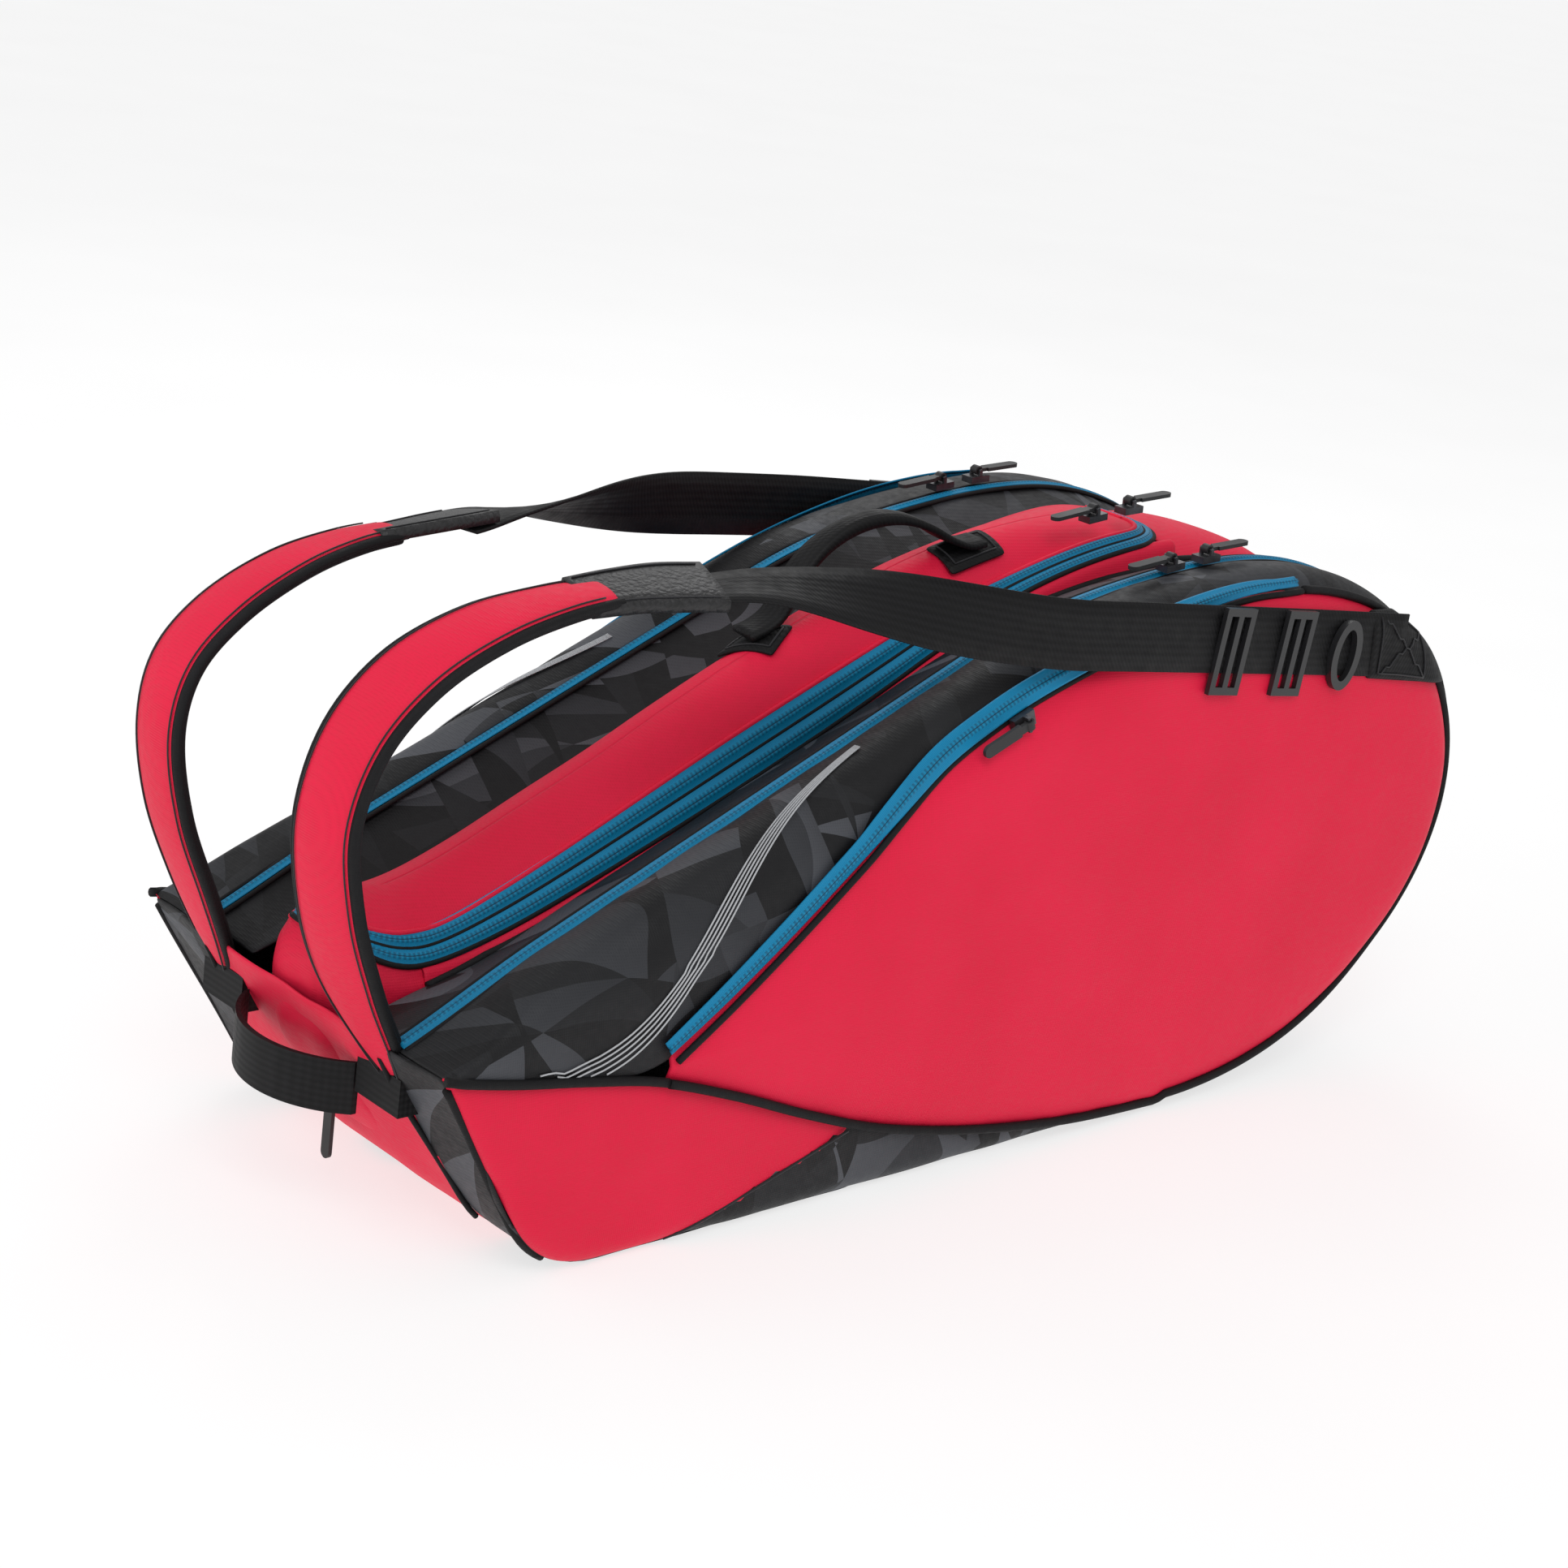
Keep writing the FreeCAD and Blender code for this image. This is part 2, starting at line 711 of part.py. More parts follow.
def pull(label, place):
    """Moulded pull: an eye on the slider's bar, a neck and a rounded tab."""
    across = "sizes.slider_width - 2 * sizes.post_width - 2 * sizes.pull_gap"
    width = size("slider_width") - 2 * size("post_width") - 2 * size("pull_gap")
    rod = place * shift(0, width / 2, bar_height()) * turned(Vec(1, 0, 0), 90)
    eye = doc.addObject("Part::Cylinder", f"{label}_eye")
    eye.setExpression("Radius", "sizes.pull_eye")
    eye.setExpression("Height", across)
    eye.Placement = rod
    neck_length = size("pull_width")
    low = bar_height() - size("pull_wall") / 2
    neck = block(
        f"{label}_neck",
        ("sizes.pull_width + 1", across, "sizes.pull_wall"),
        place * shift(-(neck_length + 1) / 2, 0, low),
    )
    tab_length = size("pull_length") - size("pull_width") * 1.5
    tab = block(
        f"{label}_tab",
        ("sizes.pull_length - 1.5 * sizes.pull_width", "sizes.pull_width", "sizes.pull_wall"),
        place * shift(-neck_length - tab_length / 2, 0, low),
    )
    tip = doc.addObject("Part::Cylinder", f"{label}_tip")
    tip.setExpression("Radius", "sizes.pull_width / 2")
    tip.setExpression("Height", "sizes.pull_wall")
    tip.Placement = place * shift(-neck_length - tab_length, 0, low)
    hole = doc.addObject("Part::Cylinder", f"{label}_hole")
    hole.setExpression("Radius", "sizes.bar_radius + sizes.pull_gap")
    hole.setExpression("Height", across)
    hole.Placement = rod
    solid = fuse(label + "_solid", [eye, neck, tab, tip])
    publish(cut(label + "_cut", solid, hole), label)


def hanging(place):
    """The nose pull's placement, turned about its bar until the pull hangs plumb."""
    lean = 90 - nose_wall_angle()
    about_bar = shift(0, 0, bar_height()) * turned(Vec(0, 1, 0), lean) * shift(0, 0, -bar_height())
    return place * about_bar


def slider_places():
    """Where each slider sits: local X along the zip, local Z away from the fabric."""
    places = {}
    lid_top = Outline(-size("lid_rise"))
    cover_top = Outline(-size("zip_tape"))
    tracks = {
        "centre": (lid_top, size("lid_slider_x"), -(size("lid_front") - size("slider_width") / 2)),
        "front": (cover_top, size("cover_slider_x"), -(size("zip_plane") + size("slider_width") / 2)),
        "back": (cover_top, size("cover_slider_x"), size("zip_plane") + size("slider_width") / 2),
    }
    for name, (track, start, y) in tracks.items():
        for index, facing in enumerate((0, 180)):
            x = start + index * size("slider_pitch")
            lift = size("slider_length") ** 2 / (8 * size("crest_radius"))
            seat = tilt(x, y, track.height(x) + lift, track.slope(x))
            places[f"{name}_slider_{index + 1}"] = seat * turned(Vec(0, 0, 1), facing)
    for name, side in SIDES.items():
        x = size("pocket_slider_x")
        z, slope = pocket_track(x)
        face = size("half_width")
        outward = turned(Vec(1, 0, 0), -side * 90)
        places[f"{name}_pocket_slider"] = tilt(x, side * face, z, slope) * outward
    z = size("nose_zip_height")
    wall_slope = nose_wall_angle()
    places["nose_slider"] = FreeCAD.Placement(
        Vec(wall_x(z) - size("zip_tape"), 0, z), nose_rotation(wall_slope)
    )
    return places


def pocket_track(x):
    """Height and slope of the middle of the pocket zip at x."""
    middle = pocket_curve(size("seam_gap") + size("pocket_zip_width") / 2)
    edge = middle.toShape()
    heights = []
    for place in (x - 1, x, x + 1):
        column = Part.LineSegment(Vec(place, 0, 0), Vec(place, size("crest_height"), 0)).toShape()
        heights.append(edge.distToShape(column)[1][0][0].y)
    return heights[1], math.degrees(math.atan2(heights[2] - heights[0], 2))


def wall_x(z):
    """The nose wall's X at height z."""
    return size("foot_x") + (size("nose_x") - size("foot_x")) * z / size("nose_height")


def nose_wall_angle():
    """Angle between the nose wall and the floor, in degrees."""
    return math.degrees(math.atan2(size("nose_height"), size("foot_x") - size("nose_x")))


def nose_rotation(angle):
    """Rotation whose local Z leaves the nose wall and whose local X points up the wall."""
    slope = math.radians(angle)
    up = Vec(-math.cos(slope), 0, math.sin(slope))
    out = Vec(-math.sin(slope), 0, -math.cos(slope))
    return FreeCAD.Rotation(up, out.cross(up), out, "ZXY")


# ---------------------------------------------------------------------------------------------
# Backpack straps with their webbing and hardware
# ---------------------------------------------------------------------------------------------
def strap_curve(shift_out):
    """Centre line of the padded strap, moved outward by shift_out."""
    points = [
        (size("strap_foot_x"), size("strap_foot_height")),
        (size("strap_back_x"), size("strap_back_height")),
        (size("strap_shoulder_x"), size("strap_shoulder_height")),
        (size("strap_top_x"), size("strap_top_height")),
    ]
    middle = spline(points, (-0.25, 1.0), (1.0, 0.0))
    moved = []
    count = 8
    for index in range(count + 1):
        share = index / count
        at = middle.FirstParameter + share * (middle.LastParameter - middle.FirstParameter)
        point = middle.value(at)
        along = middle.tangent(at)[0]
        moved.append((point.x - along.y * shift_out, point.y + along.x * shift_out))
    first = middle.tangent(middle.FirstParameter)[0]
    last = middle.tangent(middle.LastParameter)[0]
    return spline(moved, (first.x, first.y), (last.x, last.y)), moved


def strap_pad(name, side):
    """Padded part of a backpack strap."""
    outer, outer_points = strap_curve(size("strap_wall") / 2)
    inner, inner_points = strap_curve(-size("strap_wall") / 2)
    ends = [line(inner_points[0], outer_points[0]), line(inner_points[-1], outer_points[-1])]
    curves = [outer, inner] + ends
    slab(f"{name}_strap_pad", curves, "sizes.strap_inner", "sizes.strap_width", side)


def strap_tab(name, side):
    """Stitched end tab that joins the pad to its webbing."""
    x = size("strap_top_x")
    low = size("strap_top_height") - size("tab_wall") / 2
    curves = polygon(
        [
            (x, low),
            (x + size("tab_length"), low - size("tab_wall") / 2),
            (x + size("tab_length"), low + size("tab_wall") / 2),
            (x, low + size("tab_wall")),
        ]
    )
    start = "sizes.strap_inner + (sizes.strap_width - sizes.tab_width) / 2"
    slab(f"{name}_strap_tab", curves, start, "sizes.tab_width", side)


def webbing_line():
    """Height and slope of the webbing's centre line beside the head."""
    start_x = size("strap_top_x") + size("tab_length")
    start_z = size("strap_top_height") - size("tab_wall") / 2
    run = size("webbing_end_x") - start_x
    slope = (size("webbing_end_height") - start_z) / run
    return start_x, start_z, slope


def webbing_height(x):
    start_x, start_z, slope = webbing_line()
    return start_z + slope * (x - start_x)


def webbing_slope():
    return math.degrees(math.atan(webbing_line()[2]))


def strap_webbing(name, side):
    """Webbing that turns from flat on the tab to upright beside the head."""
    start_x = webbing_line()[0]
    flat_x = size("webbing_flat_x")
    middle_y = size("strap_inner") + size("strap_width") / 2
    stations = []
    steps = 4
    for index in range(steps + 1):
        share = index / steps
        x = start_x + share * (flat_x - start_x)
        y = middle_y + share * (size("webbing_side") - middle_y)
        stations.append((x, y, 90 * share))
    stations.append((size("webbing_end_x"), size("webbing_side"), 90))
    body = new_body(f"{name}_strap_webbing")
    sections = []
    half = size("webbing_width") / 2
    thick = size("webbing_wall") / 2
    for index, (x, y, turn) in enumerate(stations):
        angle = math.radians(turn)
        wide = (-math.cos(angle), math.sin(angle))
        deep = (math.sin(angle), math.cos(angle))
        corners = []
        for across, out in ((half, thick), (-half, thick), (-half, -thick), (half, -thick)):
            offset_y = wide[0] * across + deep[0] * out
            offset_z = wide[1] * across + deep[1] * out
            corners.append((side * (y + offset_y), webbing_height(x) + offset_z))
        label = f"{name}_webbing_section_{index}"
        sections.append(sketch_on(body, "YZ_Plane", label, polygon(corners), str(x)))
    loft = body.newObject("PartDesign::AdditiveLoft", f"{name}_webbing_loft")
    loft.Profile = sections[0]
    loft.Sections = sections[1:]
    loft.Ruled = True


def upright(x, side, out):
    """Placement on the outer face of the webbing at x, moved out by out."""
    face = side * (size("webbing_side") + size("webbing_wall") / 2 + out)
    return tilt(x, face, webbing_height(x), webbing_slope())


def glide(label, x, side):
    """Three-bar adjuster on the webbing."""
    half = size("glide_length") / 2
    tall = size("glide_height") / 2
    bar = size("glide_bar")
    frame = polygon([(-half, -tall), (half, -tall), (half, tall), (-half, tall)])
    for left, right in ((-half + bar, -bar / 2), (bar / 2, half - bar)):
        frame += polygon(
            [(left, bar - tall), (right, bar - tall), (right, tall - bar), (left, tall - bar)]
        )
    body = slab(label, frame, "0", "sizes.glide_wall", side)
    body.Placement = upright(x, side, size("glide_gap"))


def ring(name, side):
    """Oval ring held on the webbing."""
    half_height = size("ring_height") / 2
    half_length = size("ring_length") / 2
    bar = size("ring_bar")
    outer = Part.Ellipse(Vec(0, half_height, 0), Vec(half_length, 0, 0), Vec(0, 0, 0))
    inner = Part.Ellipse(Vec(0, half_height - bar, 0), Vec(half_length - bar, 0, 0), Vec(0, 0, 0))
    body = slab(f"{name}_strap_ring", [outer, inner], "0", "sizes.ring_wall", side)
    body.Placement = upright(size("ring_x"), side, size("glide_gap"))


def head_anchor(name, side):
    """Webbing patch that ties the strap to the head end of the cover."""
    x = size("webbing_end_x") + size("anchor_gap")
    half = size("webbing_width") / 2
    drop = math.tan(math.radians(webbing_slope()))
    far = x + size("anchor_length")
    z = webbing_height(x)
    far_z = z + drop * size("anchor_length")
    top = Outline(size("wall")).height(far)
    curves = polygon([(x, z - half), (far, far_z - half), (far, top), (x, z + half)])
    slab(f"{name}_head_anchor", curves, "sizes.half_width", "sizes.webbing_side - sizes.half_width", side)


def foot_block(name, side):
    """Webbing stub that ties the strap's foot to the nose wall."""
    low = size("strap_foot_height") - size("foot_block") / 2
    high = low + size("foot_block")
    outer_x = size("strap_foot_x") + size("strap_wall") / 2 + size("foot_gap")
    curves = polygon([(wall_x(low), low), (wall_x(high), high), (outer_x, high), (outer_x, low)])
    start = "sizes.grab_span / 2 + sizes.foot_gap"
    depth = "sizes.zip_plane - sizes.seam_gap - sizes.grab_span / 2 - sizes.foot_gap"
    slab(f"{name}_strap_foot", curves, start, depth, side)


# ---------------------------------------------------------------------------------------------
# Nose end
# ---------------------------------------------------------------------------------------------
def grab_handle():
    """Webbing across the nose, bowed outward to take a hand."""
    half = size("grab_span") / 2
    bow = size("grab_bow")
    wall = size("grab_wall")
    top = size("grab_height") + size("grab_width") / 2
    x = wall_x(top) - size("patch_wall") - size("foot_gap")
    outer = Part.Arc(Vec(x - wall, -half, 0), Vec(x - bow - wall, 0, 0), Vec(x - wall, half, 0))
    inner = Part.Arc(Vec(x, -half, 0), Vec(x - bow, 0, 0), Vec(x, half, 0))
    ends = [line((x, -half), (x - wall, -half)), line((x, half), (x - wall, half))]
    body = new_body("grab_handle")
    start = "sizes.grab_height - sizes.grab_width / 2"
    sketch = sketch_on(body, "XY_Plane", "grab_handle_outline", [outer, inner] + ends, start)
    pad(body, sketch, "sizes.grab_width")


def grab_patches():
    """Two sewn patches on the nose wall that hold the grab handle."""
    patches = []
    spread = ("sizes.grab_width", "sizes.grab_pad", "sizes.patch_wall")
    turn = nose_rotation(nose_wall_angle())
    z = size("grab_height")
    for index, side in enumerate((FRONT, BACK)):
        y = side * (size("grab_span") - size("grab_pad")) / 2
        place = FreeCAD.Placement(Vec(wall_x(z), y, z), turn)
        patches.append(block(f"grab_patch_{index}", spread, place))
    publish(fuse("grab_patches_fused", patches), "grab_patches")


def nose_zip():
    """Zip of the pocket in the nose wall."""
    z = size("nose_zip_height")
    place = FreeCAD.Placement(Vec(wall_x(z), 0, z), nose_rotation(nose_wall_angle()))
    spread = ("sizes.zip_width", "sizes.nose_zip_span", "sizes.zip_tape")
    publish(block("nose_zip_tape", spread, place), "nose_zip")


# ---------------------------------------------------------------------------------------------
# Build, check and write
# ---------------------------------------------------------------------------------------------
def build():
    centre_shell()
    base_board()
    rail("front", FRONT)
    for name, side in SIDES.items():
        divider(name, side)
        gusset(name, side)
        lower_shell(name, side)
        side_cover(name, side)
        main_zip(name, side)
        pocket_panel(name, side)
        pocket_zip(name, side)
    lid()
    handle_patches()
    carry_handle()
    for label, place in slider_places().items():
        slider(label, place)
        if label == "nose_slider":
            place = hanging(place)
        pull(label.replace("slider", "pull"), place)
    for name, side in SIDES.items():
        strap_pad(name, side)
        strap_tab(name, side)
        strap_webbing(name, side)
        glide(f"{name}_rear_glide", size("rear_glide_x"), side)
        glide(f"{name}_front_glide", size("front_glide_x"), side)
        ring(name, side)
        head_anchor(name, side)
        foot_block(name, side)
    grab_handle()
    grab_patches()
    nose_zip()


def check():
    for item in doc.Objects:
        if "Invalid" in item.State or "Error" in item.State:
            raise RuntimeError(f"{item.Name} failed: {item.State}")
    for piece in nodes:
        shape = piece.Shape
        if shape.isNull() or not shape.isValid() or shape.Volume <= 0:
            raise RuntimeError(f"{piece.Label} has no valid shape")


def write():
    os.makedirs("parts", exist_ok=True)
    for piece in nodes:
        piece.Shape.exportStep(f"parts/{piece.Label}.step")
    print(len(nodes), "pieces written")


build()
doc.recompute()
check()
write()
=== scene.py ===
"""Looks of the racket tournament bag: panels, zips, straps and hardware round the CAD frame."""

import math
import bmesh
import bpy
import numpy as np
from mathutils import Matrix, Vector, noise


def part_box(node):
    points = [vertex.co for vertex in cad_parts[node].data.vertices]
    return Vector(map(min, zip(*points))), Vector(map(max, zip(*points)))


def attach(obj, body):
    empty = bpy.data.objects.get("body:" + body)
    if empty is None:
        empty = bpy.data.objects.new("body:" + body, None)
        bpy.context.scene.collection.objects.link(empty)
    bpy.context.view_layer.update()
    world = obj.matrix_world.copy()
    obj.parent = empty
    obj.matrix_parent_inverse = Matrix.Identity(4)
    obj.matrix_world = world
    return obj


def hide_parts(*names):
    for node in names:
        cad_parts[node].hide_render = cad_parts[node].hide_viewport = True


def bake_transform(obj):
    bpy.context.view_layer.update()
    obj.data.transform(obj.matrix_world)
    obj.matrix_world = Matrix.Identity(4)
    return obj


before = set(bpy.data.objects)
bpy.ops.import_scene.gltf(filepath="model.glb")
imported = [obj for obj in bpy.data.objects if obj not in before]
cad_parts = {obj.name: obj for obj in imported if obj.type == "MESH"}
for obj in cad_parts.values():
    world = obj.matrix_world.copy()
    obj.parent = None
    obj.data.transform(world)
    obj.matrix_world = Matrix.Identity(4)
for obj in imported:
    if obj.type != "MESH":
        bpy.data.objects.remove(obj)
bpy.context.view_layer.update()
MM = 0.001
CREASE_SEED = 7
noise.seed_set(CREASE_SEED)

# ---------------------------------------------------------------------------------------------
# Camera and light
# ---------------------------------------------------------------------------------------------
CAMERA_PLACE = Vector((-1.1936, -1.1780, 0.7168))
CAMERA_RIGHT = Vector((0.7412, -0.6597, 0.1241))
CAMERA_UP = Vector((0.1189, 0.3111, 0.9429))
CAMERA_LENS = 70.8


def make_camera():
    data = bpy.data.cameras.new("camera")
    data.lens = CAMERA_LENS
    data.sensor_width = 36.0
    data.clip_end = 50.0
    camera = bpy.data.objects.new("camera", data)
    right = CAMERA_RIGHT.normalized()
    up = (CAMERA_UP - right * CAMERA_UP.dot(right)).normalized()
    back = right.cross(up)
    turn = Matrix((right, up, back)).transposed()
    camera.matrix_world = Matrix.Translation(CAMERA_PLACE) @ turn.to_4x4()
    bpy.context.collection.objects.link(camera)
    bpy.context.scene.camera = camera


def area_light(name, place, aim, size, power):
    data = bpy.data.lights.new(name, "AREA")
    data.shape = "DISK"
    data.size = size
    data.energy = power
    lamp = bpy.data.objects.new(name, data)
    lamp.location = place
    lamp.rotation_euler = (Vector(aim) - Vector(place)).to_track_quat("-Z", "Y").to_euler()
    bpy.context.collection.objects.link(lamp)


make_camera()


# ---------------------------------------------------------------------------------------------
# Materials
# ---------------------------------------------------------------------------------------------
class Nodes:
    """Small helper that adds and joins shader nodes."""

    def __init__(self, name):
        self.material = bpy.data.materials.new(name)
        self.material.use_nodes = True
        self.tree = self.material.node_tree
        self.shader = self.tree.nodes["Principled BSDF"]

    def add(self, kind, **values):
        node = self.tree.nodes.new(kind)
        for key, value in values.items():
            if hasattr(node, key):
                setattr(node, key, value)
            else:
                node.inputs[key.replace("_", " ")].default_value = value
        return node

    def join(self, out, into):
        self.tree.links.new(out, into)

    def coordinates(self, kind):
        return self.add("ShaderNodeTexCoord").outputs[kind]

    def mapped(self, source, scale, turn=(0, 0, 0)):
        node = self.add("ShaderNodeMapping")
        node.inputs["Scale"].default_value = scale
        node.inputs["Rotation"].default_value = turn
        self.join(source, node.inputs["Vector"])
        return node.outputs["Vector"]

    def ramp(self, source, stops, mode="LINEAR"):
        node = self.add("ShaderNodeValToRGB")
        node.color_ramp.interpolation = mode
        while len(node.color_ramp.elements) < len(stops):
            node.color_ramp.elements.new(0.5)
        for element, (place, colour) in zip(node.color_ramp.elements, stops):
            element.position = place
            element.color = (*colour, 1.0) if len(colour) == 3 else colour
        self.join(source, node.inputs["Fac"])
        return node.outputs["Color"]

    def math(self, operation, a, b=None):
        node = self.add("ShaderNodeMath", operation=operation)
        for socket, value in zip(node.inputs, (a, b)):
            if value is None:
                continue
            if isinstance(value, (int, float)):
                socket.default_value = value
            else:
                self.join(value, socket)
        return node.outputs[0]

    def mix(self, share, a, b, blend="MIX"):
        node = self.add("ShaderNodeMix", data_type="RGBA", blend_type=blend)
        for socket, value in ((node.inputs[0], share), (node.inputs[6], a), (node.inputs[7], b)):
            if isinstance(value, (int, float)):
                socket.default_value = value
            elif isinstance(value, tuple):
                socket.default_value = (*value, 1.0)
            else:
                self.join(value, socket)
        return node.outputs[2]

    def noise(self, vector, scale, detail=4.0, roughness=0.55):
        node = self.add("ShaderNodeTexNoise")
        node.inputs["Scale"].default_value = scale
        node.inputs["Detail"].default_value = detail
        node.inputs["Roughness"].default_value = roughness
        if vector is not None:
            self.join(vector, node.inputs["Vector"])
        return node.outputs["Fac"]

    def wave(self, vector, scale, direction="X", distortion=0.0, profile="SIN"):
        node = self.add("ShaderNodeTexWave", bands_direction=direction, wave_profile=profile)
        node.inputs["Scale"].default_value = scale
        node.inputs["Distortion"].default_value = distortion
        self.join(vector, node.inputs["Vector"])
        return node.outputs["Fac"]

    def bump(self, height, strength, distance, below=None):
        node = self.add("ShaderNodeBump")
        node.inputs["Strength"].default_value = strength
        node.inputs["Distance"].default_value = distance
        self.join(height, node.inputs["Height"])
        if below is not None:
            self.join(below, node.inputs["Normal"])
        return node.outputs["Normal"]

    def finish(self, colour, roughness, normal=None, sheen=0.0, metallic=0.0, specular=0.5):
        self.join(colour, self.shader.inputs["Base Color"])
        if isinstance(roughness, float):
            self.shader.inputs["Roughness"].default_value = roughness
        else:
            self.join(roughness, self.shader.inputs["Roughness"])
        if normal is not None:
            self.join(normal, self.shader.inputs["Normal"])
        self.shader.inputs["Sheen Weight"].default_value = sheen
        self.shader.inputs["Sheen Roughness"].default_value = 0.45
        self.shader.inputs["Metallic"].default_value = metallic
        self.shader.inputs["Specular IOR Level"].default_value = specular
        return self.material


def weave_height(n, place, threads):
    """Plain weave from two crossed waves, threads per metre."""
    over = n.wave(place, threads * 0.16, "X")
    under = n.wave(place, threads * 0.16, "Z")
    return n.math("MULTIPLY", over, under)


def cloth(name, light, dark, threads=1500.0, sheen=0.0, rough=0.6, crease=0.0022):
    n = Nodes(name)
    place = n.coordinates("Object")
    broad = n.noise(place, 9.0, 3.0)
    fine = n.noise(place, 260.0, 3.0)
    threads_height = weave_height(n, place, threads)
    tone = n.math("ADD", n.math("MULTIPLY", broad, 0.65), n.math("MULTIPLY", fine, 0.35))
    colour = n.ramp(tone, [(0.32, dark), (0.68, light)])
    colour = n.mix(n.math("MULTIPLY", threads_height, 0.10), colour, tuple(c * 0.6 for c in dark))
    creases = n.noise(n.mapped(place, (1.0, 1.0, 1.6)), 16.0, 5.0, 0.5)
    normal = n.bump(creases, 0.30, crease)
    normal = n.bump(threads_height, 0.35, 0.00025, normal)
    roughness = n.ramp(fine, [(0.3, (rough - 0.06,) * 3), (0.7, (rough + 0.07,) * 3)])
    return n.finish(colour, roughness, normal, sheen, specular=0.25)


def camouflage(name):
    """Dark grey pointed shards of two sizes, printed on a plain weave."""
    n = Nodes(name)
    place = n.coordinates("Object")
    weave = weave_height(n, place, 1500.0)
    apart = n.add("ShaderNodeSeparateXYZ")
    n.join(place, apart.inputs["Vector"])
    sway = n.noise(place, 7.0, 1.0)
    greys = ((0.0055, 0.0055, 0.0065), (0.013, 0.0135, 0.0155), (0.036, 0.038, 0.044), (0.078, 0.082, 0.094))
    layers = (
        ((15.0, 17.0, 9.0), (-9.0, 12.0, 21.0), 1.6, (0.0, 0.42, 0.62, 0.84)),
        ((38.0, -26.0, 21.0), (17.0, 30.0, -33.0), 2.3, (0.0, 0.50, 0.70, 0.88)),
    )
    tone = None
    for first, second, drift, places in layers:
        sums = []
        for weights in (first, second):
            total = n.math("MULTIPLY", sway, drift)
            for axis, weight in enumerate(weights):
                total = n.math("ADD", total, n.math("MULTIPLY", apart.outputs[axis], weight))
            sums.append(total)
        cell = n.add("ShaderNodeCombineXYZ")
        n.join(n.math("FLOOR", sums[0]), cell.inputs[0])
        n.join(n.math("FLOOR", sums[1]), cell.inputs[1])
        n.join(n.math("FLOOR", n.math("ADD", sums[0], sums[1])), cell.inputs[2])
        chance = n.add("ShaderNodeTexWhiteNoise", noise_dimensions="3D")
        n.join(cell.outputs["Vector"], chance.inputs["Vector"])
        shade = n.ramp(chance.outputs["Value"], list(zip(places, greys)), "CONSTANT")
        fade = n.math("MULTIPLY", n.math("FRACT", sums[0]), 0.45)
        shade = n.mix(fade, shade, greys[0])
        if tone is None:
            tone = shade
        else:
            split = n.add("ShaderNodeSeparateColor")
            n.join(chance.outputs["Color"], split.inputs["Color"])
            tone = n.mix(n.math("GREATER_THAN", split.outputs[1], 0.66), tone, shade)
    tone = n.mix(n.math("MULTIPLY", weave, 0.15), tone, (0.004, 0.004, 0.005))
    creases = n.noise(place, 16.0, 5.0, 0.5)
    normal = n.bump(creases, 0.30, 0.002)
    normal = n.bump(weave, 0.35, 0.00025, normal)
    fine = n.noise(place, 240.0, 2.0)
    rough = n.ramp(fine, [(0.3, (0.52,) * 3), (0.7, (0.64,) * 3)])
    return n.finish(tone, rough, normal, specular=0.3)


def webbing_cloth(name, light, dark):
    """Ribbed webbing: ribs run along u, picks cross them."""
    n = Nodes(name)
    place = n.coordinates("UV")
    ribs = n.wave(place, 75.0, "Y")
    picks = n.wave(n.mapped(place, (1, 1, 1), (0, 0, 0.6)), 130.0, "X")
    height = n.math("ADD", n.math("MULTIPLY", ribs, 0.6), n.math("MULTIPLY", picks, 0.4))
    grain = n.noise(n.coordinates("Object"), 120.0, 3.0)
    colour = n.ramp(n.math("MULTIPLY", height, grain), [(0.1, dark), (0.5, light)])
    normal = n.bump(height, 0.45, 0.0005)
    roughness = n.ramp(grain, [(0.3, (0.55,) * 3), (0.7, (0.72,) * 3)])
    return n.finish(colour, roughness, normal, specular=0.25)


def solid_webbing(name, light, dark):
    """Webbing finish for frame nodes, from their own place."""
    n = Nodes(name)
    place = n.coordinates("Object")
    ribs = n.wave(place, 90.0, "Z", 0.2)
    picks = n.wave(place, 110.0, "X", 0.2)
    height = n.math("ADD", n.math("MULTIPLY", ribs, 0.55), n.math("MULTIPLY", picks, 0.45))
    grain = n.noise(place, 140.0, 3.0)
    colour = n.ramp(n.math("MULTIPLY", height, grain), [(0.1, dark), (0.5, light)])
    normal = n.bump(height, 0.4, 0.0005)
    return n.finish(colour, 0.62, normal, specular=0.25)


